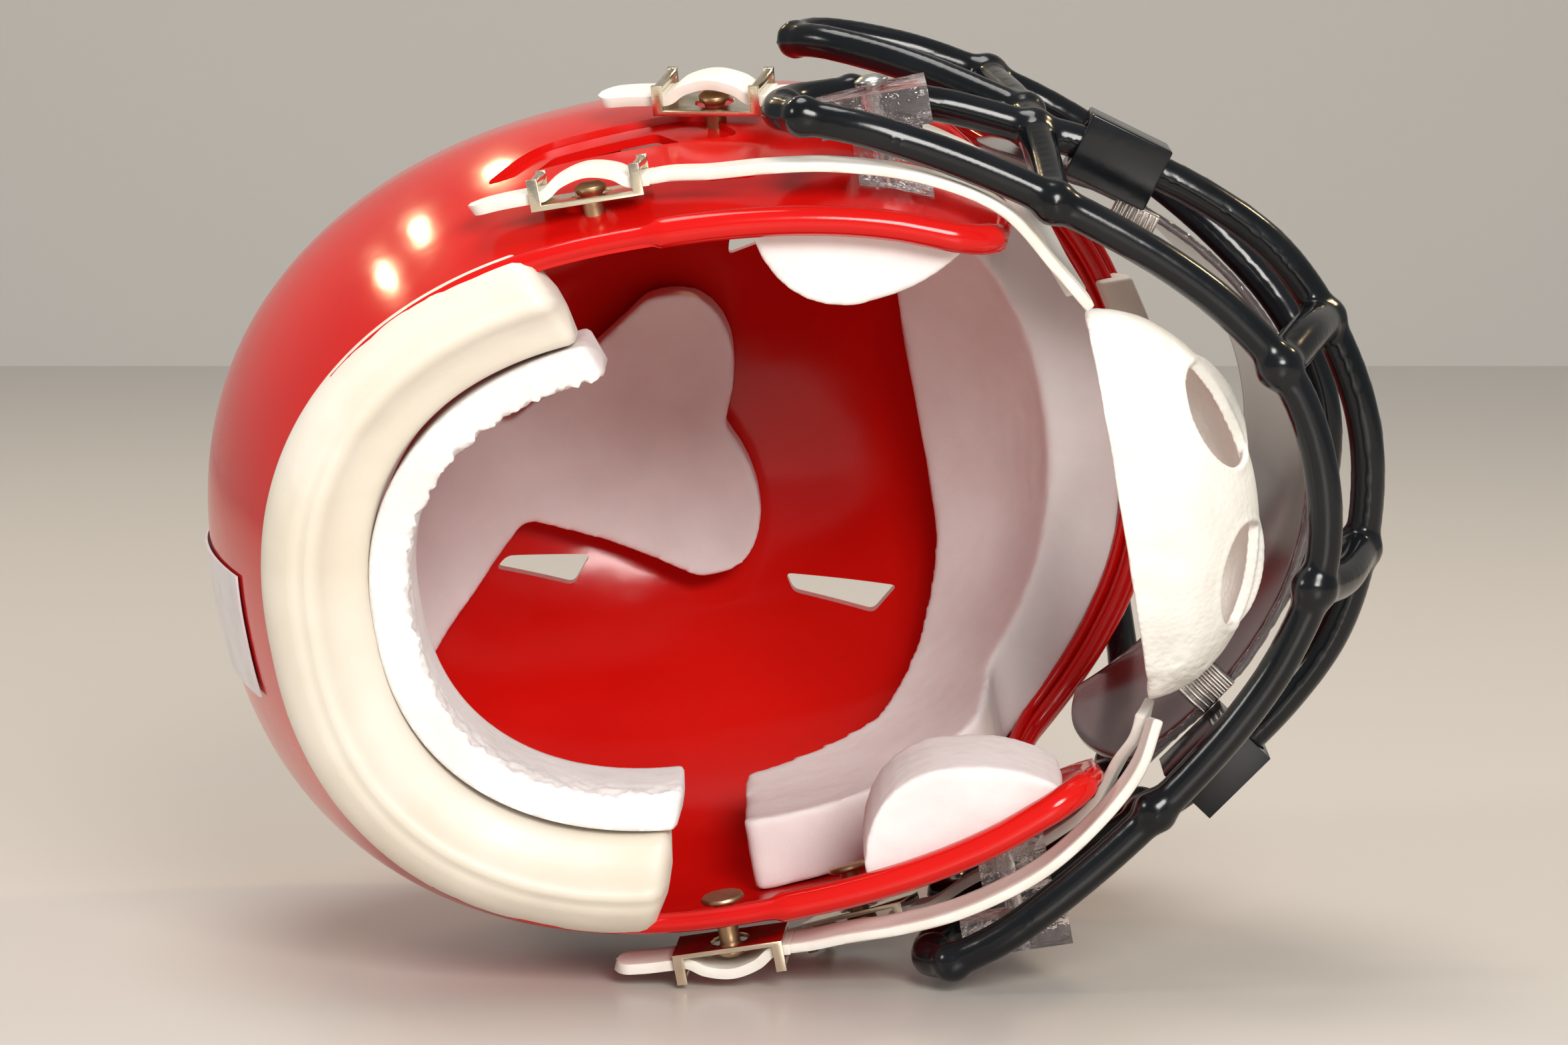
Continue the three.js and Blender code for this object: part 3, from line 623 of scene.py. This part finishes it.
def sunk_panel(sign):
    """The thin slice that is cut away to sink the panel round a side vent."""
    low, high = sorted((20 * sign, 80 * sign))
    slab = outline_solid(rounded(SIDE_PANEL, 4, 6), low, high)
    boolean(slab, dome(PANEL_DEPTH, -2))
    return slab


for name, sign in SIDES:
    boolean(shell, sunk_panel(sign))
    for vent in CROWN_VENTS:
        outline = [(x, z * sign) for x, z in rounded(vent, 1.0)]
        boolean(shell, outline_solid(outline, 95, 130, "y"))
    for vent in SIDE_VENTS:
        low, high = sorted((28 * sign, 80 * sign))
        boolean(shell, outline_solid(rounded(vent, 1.0), low, high))
smooth(shell, 32)
print("shell wall", len(shell.data.polygons), "faces")


# %% Rolled lips and beads
THIN_LIP = 1.5
THICK_LIP = 2.15
LIP_STEP_X = -4


def rim_half(inset):
    """The rim from the nape round the flap, up the cheek and along the brow to the middle."""
    points = [Vector((x, 1.0, side_face(x, 1.0, inset))) for x in range(-50, 34, 3)]
    for x, y in FACE_OPENING[2:-3]:
        points.append(Vector((x - 0.6, y + 0.8, side_face(x - 0.6, y + 0.8, inset))))
    last = points[-1]
    for share in range(1, 15):
        z = last.z * (1 - share / 14)
        x = front_face(80, z, inset)
        points.append(Vector((x, 79.9 + 3 * (x - 52) / 43, z)))
    return points


def whole_rim(inset):
    right = rim_half(inset)
    left = [Vector((p.x, p.y, -p.z)) for p in reversed(right[:-1])]
    return right + left


def lip_radius(point):
    if point.y > 5:
        return THIN_LIP * 1.05
    blend = min(1.0, max(0.0, (point.x - LIP_STEP_X) / 1.5))
    return THIN_LIP + (THICK_LIP - THIN_LIP) * blend


rim_path = respaced(whole_rim(WALL / 2), 360)
lip = round_bar(rim_path, 1.0, 16, [lip_radius(p) for p in rim_path])
brow_paths = [[p for p in respaced(whole_rim(inset), 300) if p.y > 66] for inset in (3.4, -0.4)]
beads = [round_bar([p + Vector((0, lift, 0)) for p in path], 0.85, 12)
         for path, lift in zip(brow_paths, (1.6, 3.0))]
smooth(lip)
for bead in beads:
    smooth(bead)
shell = join([shell, lip, *beads])
finish_piece(shell, "shell_moulding", RED, "helmet", ["shell"])


# %% [markdown]
# ## Neck bumper and foam strip
# The bumper is a vinyl-covered cushion clipped over the nape rim. Its section is not round:
# it slopes out to a narrow ridge with a fine crease beside it, and then falls away inwards.
# So the section is drawn once and swept round the nape, closing in at both ends. A curve
# bevel can't close its ends like that, so the sweep is a ring of points per step, joined in
# code. Inside the bumper is a strip of hand-cut foam, whose edge noise makes ragged.

# %% Sweeps round the nape
NAPE_REACH = 1.39


def nape_sweep(profile, outset, reach, steps, wobble, end_length):
    """Sweeps a closed (inward, height) profile round the nape and closes both ends."""
    count = len(profile)
    verts = []
    middle = Vector((sum(p[0] for p in profile) / count, sum(p[1] for p in profile) / count))
    for step in range(steps + 1):
        share = step / steps
        angle = math.pi - reach + 2 * reach * share
        outer = section_point(angle, 2, -outset)
        inward = Vector((MIDDLE * 0.4 - outer.x, 0, -outer.z)).normalized()
        edge = min(share, 1 - share) * steps
        grow = 1.0 if edge >= end_length else math.sqrt(
            max(0.0, 1 - (1 - (edge + 0.02) / end_length) ** 2)) ** 0.6
        for u, v in profile:
            u, v = middle.x + (u - middle.x) * grow, middle.y + (v - middle.y) * grow
            point = outer + inward * u
            point.y = v
            verts.append(point + wobble(point, u, v))
    faces = []
    for i in range(steps):
        for j in range(count):
            k = (j + 1) % count
            faces.append((i * count + j, i * count + k, (i + 1) * count + k,
                          (i + 1) * count + j))
    faces.append(tuple(range(count)))
    faces.append(tuple(range(steps * count, (steps + 1) * count)))
    mesh = bpy.data.meshes.new("nape_sweep")
    mesh.from_pydata(verts, [], faces)
    obj = bpy.data.objects.new("nape_sweep", mesh)
    bpy.context.collection.objects.link(obj)
    tidy_normals(obj, 0.001)
    return obj


def closed_profile(points, count):
    loop = points[-2:] + points + points[:3]
    dense = smooth_path([(u, v, 0) for u, v in loop], 400)
    start = min(range(200), key=lambda i: (dense[i] - Vector((*points[0], 0))).length)
    end = min(range(200, 400), key=lambda i: (dense[i] - Vector((*points[0], 0))).length)
    ring = respaced(dense[start:end + 1], count + 1)[:-1]
    return [(p.x, p.y) for p in ring]


BUMPER_OUTSET = 0.2
BUMPER_PROFILE = [(0.2, 2.6), (0.5, 0.6), (1.9, -1.4), (3.7, -2.9), (5.2, -3.7), (5.8, -3.6),
                  (6.5, -4.2), (7.5, -4.5), (8.6, -3.9), (9.7, -2.6), (11.2, -1.4), (12.8, -0.6),
                  (14.5, 0.3), (15.1, 1.4), (15.1, 7.8), (13.6, 9.0), (4.4, 9.0), (2.2, 6.4),
                  (1.2, 3.6)]


def soft_wobble(point, u, v):
    drift = noise.noise(point * 0.09) * 0.35 + noise.noise(point * 0.3) * 0.1
    return Vector((0, drift, 0))


bumper = nape_sweep(closed_profile(BUMPER_PROFILE, 64), BUMPER_OUTSET, NAPE_REACH, 160,
                    soft_wobble, 3)
smooth(bumper)
finish_piece(bumper, "neck_bumper_roll", CREAM, "helmet", ["neck_bumper"])

STRIP_OUTSET = -15.1
STRIP_PROFILE = rounded([(-0.2, 0.9), (5.3, 1.5), (5.4, 17), (-0.2, 17)], 0.7, 5)


def ragged_wobble(point, u, v):
    """Rough where the knife went: along the inner edge and on the face that looks down."""
    near_edge = max(0.0, min(1.0, (u - 2.5) / 2.5)) * max(0.0, min(1.0, (9 - v) / 8))
    cut = noise.noise(point * 0.55) * 0.9 + noise.noise(point * 1.6) * 0.45
    pores = noise.noise(point * 3.1) * 0.12
    outward = Vector((point.x - MIDDLE, 0, point.z)).normalized()
    return Vector((0, pores, 0)) + outward * cut * near_edge


strip_ring = [(p.x, p.y) for p in respaced(
    [Vector((u, v, 0)) for u, v in STRIP_PROFILE + STRIP_PROFILE[:1]], 73)[:-1]]
strip = nape_sweep(strip_ring, STRIP_OUTSET, NAPE_REACH + 0.04, 300, ragged_wobble, 3)
smooth(strip, 60)
finish_piece(strip, "neck_foam_strip", CUT_FOAM, "helmet", ["neck_foam"])


# %% [markdown]
# ## Liner pads
# The liner is plain foam, cut to outline and glued to the inside of the shell: it bends with
# the wall, stays the same thickness, and its cut edges are a little soft. Cutting the
# outline out of a layer just inside the shell gives all of that but the softness. A voxel
# remesh and a light smoothing then round the edges, and low noise dents the faces. There is
# no cover to inflate, so a cloth simulation would add nothing.

# %% Foam pads
CROWN_OUTLINE = curved((-38, 7.5), ((-28, 12), (-12, 23.5)), ((-2, 25), (0, 16)),
                       ((1, 8), (-3.5, 0)), ((1, -8), (0, -16)), ((-2, -25), (-12, -23.5)),
                       ((-28, -13), (-38, -9)), ((-58, -27),), ((-74, -24),),
                       ((-74, 24),), ((-58, 27),))
FRONT_OUTLINE = [(-8, 44), (18, 48), (30, 58), (33, 74), (46, 81.5), (80, 84.5), (80, 130),
                 (28, 130), (28, 100), (14, 78), (-8, 70)]
JAW_OUTLINE = curved((10, 70), ((41, 70),), ((40, 40),), ((34, 34.5), (22, 34)),
                     ((12, 35), (10, 46)))


CROWN_PAD_THICK = 9
FRONT_PAD_THICK = 11
JAW_PAD_LOW, JAW_PAD_HIGH = 4, 24


def soften(pad, voxel, rounds, dent):
    only(pad)
    apply_modifier(pad, "REMESH", mode="VOXEL", voxel_size=voxel)
    apply_modifier(pad, "SMOOTH", factor=0.5, iterations=rounds)
    for vertex, normal in [(v, v.normal.copy()) for v in pad.data.vertices]:
        drift = noise.noise(vertex.co * 0.07) * dent + noise.noise(vertex.co * 0.6) * 0.07
        vertex.co += normal * (drift - 0.05)
    smooth(pad)
    return pad


def pad_layer(outline, thickness, axis, low, high):
    pad = layer(WALL + GAP, WALL + GAP + thickness, 30, 96, 48)
    boolean(pad, outline_solid(outline, low, high, axis), "INTERSECT")
    return pad


crown_pad = soften(pad_layer(rounded(CROWN_OUTLINE, 2.0), CROWN_PAD_THICK, "y", 66, 130),
                   0.7, 5, 0.35)
finish_piece(crown_pad, "crown_foam", PAD_FOAM, "helmet", ["crown_pad"])
front_pad = soften(pad_layer(rounded(FRONT_OUTLINE, 1.5), FRONT_PAD_THICK, "z", -80, 80),
                   0.8, 4, 0.35)
finish_piece(front_pad, "front_foam", PAD_FOAM, "helmet", ["front_pad"])

jaw_pad = outline_solid(JAW_OUTLINE, JAW_PAD_LOW, JAW_PAD_HIGH, "y")
boolean(jaw_pad, dome(WALL + GAP, -1, 96, 48), "INTERSECT")
soften(jaw_pad, 0.6, 6, 0.3)
jaw_pad_left = mirror_left(jaw_pad, "jaw_pad_left_copy")
finish_piece(jaw_pad, "jaw_foam_right", PAD_FOAM, "helmet", ["jaw_pad_right"])
finish_piece(jaw_pad_left, "jaw_foam_left", PAD_FOAM, "helmet",
             ["jaw_pad_left"])


# %% [markdown]
# ## Face guard
# The guard is one black moulding: round bars that swell where they meet, with a bulb at
# each free end. Bars swept separately would meet in hard creases, so they are joined with a
# ball at each junction and remeshed as one skin. Smoothing that skin blends each junction
# the way a mould does.

# %% Bars and their junctions
BAR = 2.6
GUARD_VOXEL = 0.55
CHIN_BAR = [(82.5, 0, 0), (80.5, 0, 13), (74.5, 0, 23.5), (67, 0, 32), (55, 0, 42),
            (41, 0, 51.5), (28, 0, 58.5), (20, 1.5, 61.5)]
MOUTH_BAR = [(91.5, 24, 0), (89, 24, 15), (83, 24, 28), (74, 24, 37.5), (62, 24, 46),
             (51, 24, 51.5), (39, 24, 57), (27, 22, 61)]
NOSE_BAR = [(88, 46, 0), (85, 47, 14), (77, 50, 27.5), (64, 56, 42), (56, 59, 49),
            (47, 60, 55.5)]
BROW_CLEAR = -(BAR + 1)
BROW_BAR = [(front_face(100, 0, BROW_CLEAR), 100, 0), (front_face(99, 14, BROW_CLEAR), 99, 14),
            (front_face(96, 28, BROW_CLEAR), 96, 28), (53, 80, 46), (47, 60, 55.5)]
SIDE_RUNS = [
    ([(20, 1.5, 61.5), (16.8, 7, 62), (18.5, 16, 62), (27, 22, 61)], 2.6),
    ([(52, 0, 44), (52, 12, 47.4), (51.5, 24, 51.2)], 2.6),
    ([(51.5, 24, 51.2), (50, 40, 53.6), (47, 60, 55.5)], 2.6),
    ([(51, 33, 52.6), (36, 43, 61), (24, 49, 66), (20, 54, 66.5), (24, 60, 66),
      (36, 61, 61.5), (47, 60, 55.5)], 2.6),
    ([(79, 0, 16), (84, 11, 17.5), (88, 24, 17)], 3.1),
]
SWELLINGS = [((20, 1.5, 61.5), 3.1), ((17.6, 9, 62), 3.1), ((27, 22, 61), 3.0),
             ((52, 0, 44), 3.4), ((51.5, 24, 51.2), 3.4), ((47, 60, 55.5), 3.6),
             ((51, 33, 52.6), 3.3), ((79, 0, 16), 3.6), ((88, 24, 17), 3.7),
             ((20, 54, 66.5), 3.0)]


def flipped(point):
    return (point[0], point[1], -point[2])


def across_bar(half):
    return [*reversed(half[1:]), half[0], *[flipped(p) for p in half[1:]]]


guard_parts = []
for half in (CHIN_BAR, MOUTH_BAR, NOSE_BAR, BROW_BAR):
    guard_parts.append(round_bar(smooth_path(across_bar(half), 160), BAR, 20))
for points, radius in SIDE_RUNS:
    for run in (points, [flipped(p) for p in points]):
        guard_parts.append(round_bar(smooth_path(run, 40), radius, 20))
for centre, radius in SWELLINGS:
    guard_parts.append(ball(centre, radius))
    guard_parts.append(ball(flipped(centre), radius))
guard = join(guard_parts)
apply_modifier(guard, "REMESH", mode="VOXEL", voxel_size=GUARD_VOXEL)
apply_modifier(guard, "SMOOTH", factor=0.5, iterations=10)
smooth(guard)
finish_piece(guard, "guard_moulding", BLACK, "helmet", ["face_guard"])


# %% [markdown]
# ## Visor
# The visor is a smoke-grey sheet bent round the face, with its ends cut to a curve. A flat
# grid is bent to the arc and given its thickness. A frosted bead along the lower edge stands
# for the sawn edge that sparkles where light leaves the sheet.

# %% Visor sheet, edge and tabs
VISOR_CENTRE = 20
EDGE_BEAD = 0.72
VISOR_BOTTOM = 30
VISOR_TOP = 76
VISOR_THICK = 1.2


def visor_point(t, y, inset):
    rise = (y - VISOR_BOTTOM) / (VISOR_TOP - VISOR_BOTTOM)
    length, width = 64.5 - 5 * rise, 52 - 2.5 * rise
    edge_x = 51 - 7 * math.sin(math.pi * (y - VISOR_BOTTOM) / 62)
    angle = math.acos((edge_x - VISOR_CENTRE) / length) * t
    return Vector((VISOR_CENTRE + (length - inset) * math.cos(angle), y,
                   (width - inset) * math.sin(angle)))


bpy.ops.object.select_all(action="DESELECT")
bpy.ops.mesh.primitive_grid_add(x_subdivisions=96, y_subdivisions=20, size=2)
visor = bpy.context.object
for vertex in visor.data.vertices:
    height = VISOR_BOTTOM + (vertex.co.y + 1) / 2 * (VISOR_TOP - VISOR_BOTTOM)
    vertex.co = visor_point(vertex.co.x, height, VISOR_THICK / 2)
apply_modifier(visor, "SOLIDIFY", thickness=VISOR_THICK, offset=0)
apply_modifier(visor, "BEVEL", width=0.2, segments=2, limit_method="ANGLE",
               angle_limit=math.radians(50))
tidy_normals(visor, 0.001)
smooth(visor, 40)
finish_piece(visor, "visor_sheet", SMOKE, "helmet", ["visor"])

edge_path = [visor_point(-1 + 2 * i / 139, VISOR_BOTTOM + 0.2, VISOR_THICK / 2)
             for i in range(140)]
edge_bead = round_bar(edge_path, EDGE_BEAD, 10, [1 + 0.3 * noise.noise(p * 2.3) for p in edge_path])
smooth(edge_bead)
finish_piece(edge_bead, "visor_sawn_edge", CLEAR, "helmet", [])


TAB_PLACE = (63, 28.5, 34.4)
TAB_SIZE = (6.8, 6.4)
TAB_RIBS = 7


def ribbed_tab():
    """A plated thumb tab: a rounded slab whose lower face carries a row of round ribs."""
    bpy.ops.object.select_all(action="DESELECT")
    bpy.ops.mesh.primitive_cube_add(size=1)
    slab = bpy.context.object
    slab.scale = (TAB_SIZE[0], 1.5, TAB_SIZE[1])
    bpy.ops.object.transform_apply(scale=True)
    slab.data.transform(Matrix.Translation((0, 0.4, 0)))
    apply_modifier(slab, "BEVEL", width=0.35, segments=3)
    ribs = [slab]
    pitch = TAB_SIZE[0] / TAB_RIBS
    for place in range(TAB_RIBS):
        bpy.ops.object.select_all(action="DESELECT")
        across = (place - (TAB_RIBS - 1) / 2) * pitch
        bpy.ops.mesh.primitive_cylinder_add(vertices=20, radius=pitch * 0.44,
                                            depth=TAB_SIZE[1] - 0.5, location=(across, -0.5, 0))
        rib = bpy.context.object
        bpy.ops.object.transform_apply(location=True)
        apply_modifier(rib, "BEVEL", width=0.18, segments=3, limit_method="ANGLE")
        ribs.append(rib)
    tab = join(ribs)
    tab.data.transform(Matrix.Translation(TAB_PLACE) @ Matrix.Rotation(math.pi * 0.2, 4, "Y"))
    smooth(tab, 40)
    return tab


tab_right = ribbed_tab()
tab_left = mirror_left(tab_right, "tab_left_copy")
finish_piece(tab_right, "ribbed_tab_right", SILVER, "helmet", ["visor_tab_right"])
finish_piece(tab_left, "ribbed_tab_left", SILVER, "helmet", ["visor_tab_left"])


# %% [markdown]
# ## Chin cup
# The cup is a shallow bowl of leatherette with two oval holes and a thin sewn rim round each.
# A sphere squashed to the bowl's three half-sizes is given a wall and cut down to the bowl and
# a low front wall, and the holes go through it. Each rim is a thin bar laid along its hole.
# One voxel remesh joins them, and low noise crumples the ends where the straps pull.

# %% Cup
CUP_X, CUP_Y, CUP_Z = 54, 11, -2
CUP_HALVES = (20, 15.5, 28.5)
CUP_WALL = 1.6
HOLE_HALVES = (3.4, 8.2)
HOLE_AHEAD = 15.4
HOLE_RIM = 0.62
FRONT_RISE = 11
FRONT_HALF = 20


def cup_drop(x, z):
    """Height of the bowl's outer face under the point x, z."""
    depth, drop, half = [size - 0.35 for size in CUP_HALVES]
    inside = 1 - ((x - CUP_X) / depth) ** 2 - ((z - CUP_Z) / half) ** 2
    return CUP_Y - drop * math.sqrt(max(0.0, inside))


def cup_ball(inset):
    return ball((CUP_X, CUP_Y, CUP_Z), 1, [half - inset for half in CUP_HALVES], 112)


cup = cup_ball(0)
boolean(cup, cup_ball(CUP_WALL))
cup_room = outline_solid([(CUP_X, -20), (100, -20), (100, CUP_Y + 1), (CUP_X, CUP_Y + 1)], -60, 60)
front_room = outline_solid([(CUP_X + 3, CUP_Y), (100, CUP_Y), (100, CUP_Y + FRONT_RISE),
                            (CUP_X + 3, CUP_Y + FRONT_RISE)], CUP_Z - FRONT_HALF,
                           CUP_Z + FRONT_HALF)
boolean(cup_room, front_room, "UNION")
boolean(cup, cup_room, "INTERSECT")
rims = []
for centre_z, turn in ((11.5, 0.3), (-11.5, -0.3)):
    oval = []
    for step in range(32):
        a = step * math.pi / 16
        u, v = HOLE_HALVES[0] * math.cos(a), HOLE_HALVES[1] * math.sin(a)
        oval.append((CUP_X + HOLE_AHEAD + u * math.cos(turn) - v * math.sin(turn),
                     CUP_Z + centre_z + u * math.sin(turn) + v * math.cos(turn)))
    boolean(cup, outline_solid(oval, -10, 9, "y"))
    ring = [Vector((x, cup_drop(x, z), z)) for x, z in oval]
    rims.append(round_bar(ring, HOLE_RIM, 10, closed=True))
cup = join([cup, *rims])
apply_modifier(cup, "REMESH", mode="VOXEL", voxel_size=0.36)
apply_modifier(cup, "SMOOTH", factor=0.5, iterations=3)
for vertex in cup.data.vertices:
    pull = min(1.0, max(0.0, (abs(vertex.co.z - CUP_Z) - 16) / 10))
    crumple = noise.noise(vertex.co * 0.22) * (0.3 + 0.7 * pull)
    pucker = noise.noise(vertex.co * 0.7) * 0.28 * pull
    vertex.co += Vector((crumple * 0.4, crumple + pucker, 0))
smooth(cup)
finish_piece(cup, "chin_cup_bowl", LEATHERETTE, "chin_strap",
             ["chin_cup"])


# %% [markdown]
# ## Small hardware
# Screws, nuts, snap posts, buckles and clips already have their real shape in the CAD
# solids. Each is copied, its loose triangles are merged, and its edges get a small bevel, so
# that they catch light as turned, folded or moulded edges do.

# %% Copies of CAD solids with softened edges
def softened_copy(node, bevel, segments=2, angle=42):
    copy = duplicate(NODES[node], node + "_copy")
    copy.data.transform(LYING.inverted())
    edit(copy, lambda: bpy.ops.mesh.remove_doubles(threshold=0.002),
         lambda: bpy.ops.mesh.dissolve_limited(angle_limit=math.radians(1)))
    apply_modifier(copy, "BEVEL", width=bevel, segments=segments, limit_method="ANGLE",
                   angle_limit=math.radians(angle))
    smooth(copy, 36)
    return copy


HARDWARE = (("side_screw", 0.18, STEEL, "steel_screw"), ("side_nut", 0.12, STEEL, "steel_screw"),
            ("brow_screw", 0.18, STEEL, "steel_screw"), ("brow_nut", 0.12, STEEL, "steel_screw"),
            ("snap_post_lower", 0.2, BRASS, "snap_brass"),
            ("snap_post_upper", 0.2, BRASS, "snap_brass"),
            ("visor_clip", 0.7, BLACK, "black_guard"), ("brow_clip", 0.7, CLEAR, "clear_clip"),
            ("side_clip", 0.7, CLEAR, "clear_clip"))
for side, _ in SIDES:
    for node, bevel, material, slot in HARDWARE:
        part = softened_copy(f"{node}_{side}", bevel, 3)
        finish_piece(part, f"{node}_{side}_part", material, "helmet", [f"{node}_{side}"])
    for level in ("lower", "upper"):
        buckle = softened_copy(f"buckle_{level}_{side}", 0.16)
        finish_piece(buckle, f"folded_buckle_{level}_{side}", PLATED,
                     f"buckle_{level}_{side}", [f"buckle_{level}_{side}"])


# %% [markdown]
# ## Straps
# Each strap is one band of vinyl that runs from its buckle to a corner of the cup. Its end
# passes under the buckle's two bars and humps over the snap between them. The band is a flat
# grid laid along its route, a little crowned, with a real thickness and rounded edges. The
# stretch inside the buckle moves with the buckle, and the rest stays where it is laid.

# %% Posts and buckle frames
STRAP_THICK = 1.5
LOWER_POST = (-11, 8)
UPPER_POST = (7, 35)
UNDER_BAR = 3.75
BUCKLE_RUN = [(-17, 3.25), (-12.5, 3.65), (-8.4, 3.75), (-6.2, 3.85), (-3.9, 5.3), (0, 6.2),
              (3.9, 5.3), (6.2, 3.85), (8.8, 3.75)]
STRAP_START = [(8.6, UNDER_BAR), (11.5, UNDER_BAR)]
CUP_END = CUP_HALVES[2] + 2


def normal_at(x, y):
    step = 0.5
    dx = (side_face(x + step, y) - side_face(x - step, y)) / (2 * step)
    dy = (side_face(x, y + step) - side_face(x, y - step)) / (2 * step)
    return Vector((-dx, -dy, 1)).normalized()


def buckle_frame(post, axis, toward):
    along = Vector(toward) - axis * Vector(toward).dot(axis)
    along.normalize()
    foot = Vector((*post, side_face(*post)))
    return foot, along, axis


def on_buckle(place, run):
    foot, along, axis = place
    return [tuple(foot + along * x + axis * h) for x, h in run]


lower_place = buckle_frame(LOWER_POST, Vector((0, 0, 1)), (1, -0.1, 0))
upper_place = buckle_frame(UPPER_POST, normal_at(*UPPER_POST), (1, -0.3, 0))


def lower_route(sign):
    end = CUP_Z * sign
    return on_buckle(lower_place, STRAP_START) + [
        (6, 5.6, 55.8), (14, 4, 55.4), (23, 3, 54.2), (35, 3, 50.4), (45, 3.6, 44),
        (51, 5, 36.5 + end), (54.5, 6.5, CUP_END + end)]


def upper_route(sign):
    end = CUP_Z * sign
    return on_buckle(upper_place, STRAP_START) + [
        (24, 30.6, 58.6), (31, 28.4, 55.6), (38, 25, 52), (44, 21.5, 47.6), (49, 18, 40.5),
        (52, 15.5, 34.5 + end), (53.6, 14.2, CUP_END + end)]


def to_row(point):
    return tuple(LYING @ Vector(point))


# %% Straps and the loops in the buckles
def tail_width(share):
    """The strap's cut end is rounded over its first few millimetres."""
    return 1.0 if share > 0.09 else math.sqrt(max(0.05, 1 - (1 - share / 0.09) ** 2))


STRAPS = (
    ("lower", lower_place, lower_route, 7, (0, 1, 0), (14, 4, 55.4), (2, 7, 55)),
    ("upper", upper_place, upper_route, 6, (0.25, 1, 0.12), (22, 31, 59), (53, 14.5, 29)),
)
for side, sign in SIDES:
    for level, place, route, width, across, start, end in STRAPS:
        _, along, axis = place
        loop_across = axis.cross(along)
        loop = strap_band(on_buckle(place, BUCKLE_RUN), loop_across, width, STRAP_THICK, 90,
                          widths=tail_width)
        band = strap_band(route(sign), across, width, STRAP_THICK, 110)
        if sign < 0:
            for obj in (loop, band):
                obj.data.transform(Matrix.Scale(-1, 4, Vector((0, 0, 1))))
                edit(obj, lambda: bpy.ops.mesh.flip_normals())
        finish_piece(loop, f"strap_hump_{level}_{side}", STRAP_VINYL,
                     f"buckle_{level}_{side}", [f"strap_loop_{level}_{side}"])
        points = [to_row((x, y, z * sign)) for x, y, z in (start, end)]
        bodies = (("chin_strap", f"buckle_lower_{side}") if level == "lower"
                  else ("helmet", "chin_strap"))
        finish_piece(band, f"strap_band_{level}_{side}", STRAP_VINYL,
                     (*bodies, points[0], points[1]), [f"strap_{level}_{side}"])


# %% [markdown]
# ## Brow bumper and rear label
# Outside the brow sits a small bumper of the same cream vinyl. On the back is a plain strip
# of pale film. Both hug the shell; the label is bent over its form, the bumper keeps its CAD shape.

# %% Brow bumper and label
brow_bumper = softened_copy("front_bumper", 0.6, 3, 35)
finish_piece(brow_bumper, "brow_bumper", CREAM, "helmet", ["front_bumper"])

LABEL_MIDDLE = 39
LABEL_HALF_HEIGHT = 25
LABEL_HALF_WIDTH = 9
LABEL_LIFT = 0.55
bpy.ops.object.select_all(action="DESELECT")
bpy.ops.mesh.primitive_grid_add(x_subdivisions=20, y_subdivisions=50, size=2)
label = bpy.context.object
for vertex in label.data.vertices:
    height = LABEL_MIDDLE + LABEL_HALF_HEIGHT * vertex.co.y
    across = LABEL_HALF_WIDTH * vertex.co.x
    _, back, side_reach = section(height, -LABEL_LIFT)
    depth = back * (1 - (abs(across) / side_reach) ** POWER) ** (1 / POWER)
    vertex.co = (MIDDLE - depth, height, across)
apply_modifier(label, "SOLIDIFY", thickness=0.35, offset=0)
tidy_normals(label, 0.001)
smooth(label, 45)
finish_piece(label, "rear_label_film", FILM, "helmet", ["rear_label"])

# %% [markdown]
# ## Studio
# The floor is pale and slightly glossy, so that the helmet has a soft reflection under it.
# A wall of nearly the same tone closes the view. Big soft panels in front, above and to the
# left give an even light that reaches into the shell. Three small warm lamps behind it stand
# where the gloss mirrors them to the camera, and make its row of round sparks.

# %% Floor and wall
def pale_surface(name, colour, roughness):
    material, tree, shader = new_material(name)
    shader.inputs["Base Color"].default_value = (*colour, 1)
    shader.inputs["Roughness"].default_value = roughness
    return material


def stage_plane(name, size, location, rotation, material):
    bpy.ops.object.select_all(action="DESELECT")
    bpy.ops.mesh.primitive_plane_add(size=size, location=location, rotation=rotation)
    plane = bpy.context.object
    plane.name = name
    plane.data.materials.append(material)
    return plane


stage_plane("floor", 6, (0, 0, -0.0002), (0, 0, 0), pale_surface("floor", (0.62, 0.58, 0.53), 0.3))
stage_plane("wall", 6, (0, 1.6, 1.5), (math.radians(90), 0, 0),
            pale_surface("wall", (0.66, 0.64, 0.60), 0.9))


# %% Lamps and world
def soft_panel(name, location, target, size, watts, colour):
    bpy.ops.object.light_add(type="AREA", location=location)
    lamp = bpy.context.object
    lamp.name = name
    lamp.data.shape = "DISK"
    lamp.data.size = size
    lamp.data.energy = watts
    lamp.data.color = colour
    lamp.rotation_euler = (Vector(target) - Vector(location)).to_track_quat("-Z", "Y").to_euler()


HEART = (0, 0, 0.07)
soft_panel("front_panel", (0.3, -1.25, 0.62), HEART, 0.55, 18, (1.0, 0.97, 0.93))
soft_panel("top_panel", (-0.15, 0.1, 1.4), HEART, 0.7, 9, (1.0, 0.98, 0.95))
soft_panel("left_panel", (-1.2, -0.5, 0.7), HEART, 0.35, 4, (1.0, 0.96, 0.9))
for place, spot in enumerate(((-0.38, 0.99, 0.84), (-0.57, 0.92, 0.815), (-0.69, 0.86, 0.78))):
    soft_panel(f"warm_bulb_{place}", spot, HEART, 0.035, 0.6, (1.0, 0.74, 0.42))
soft_panel("warm_back", (0.7, 0.35, 0.75), HEART, 0.1, 2.0, (1.0, 0.75, 0.42))

world = bpy.data.worlds.new("studio")
world.use_nodes = True
background = world.node_tree.nodes["Background"]
background.inputs["Color"].default_value = (0.93, 0.95, 1.0, 1)
background.inputs["Strength"].default_value = 0.3
bpy.context.scene.world = world
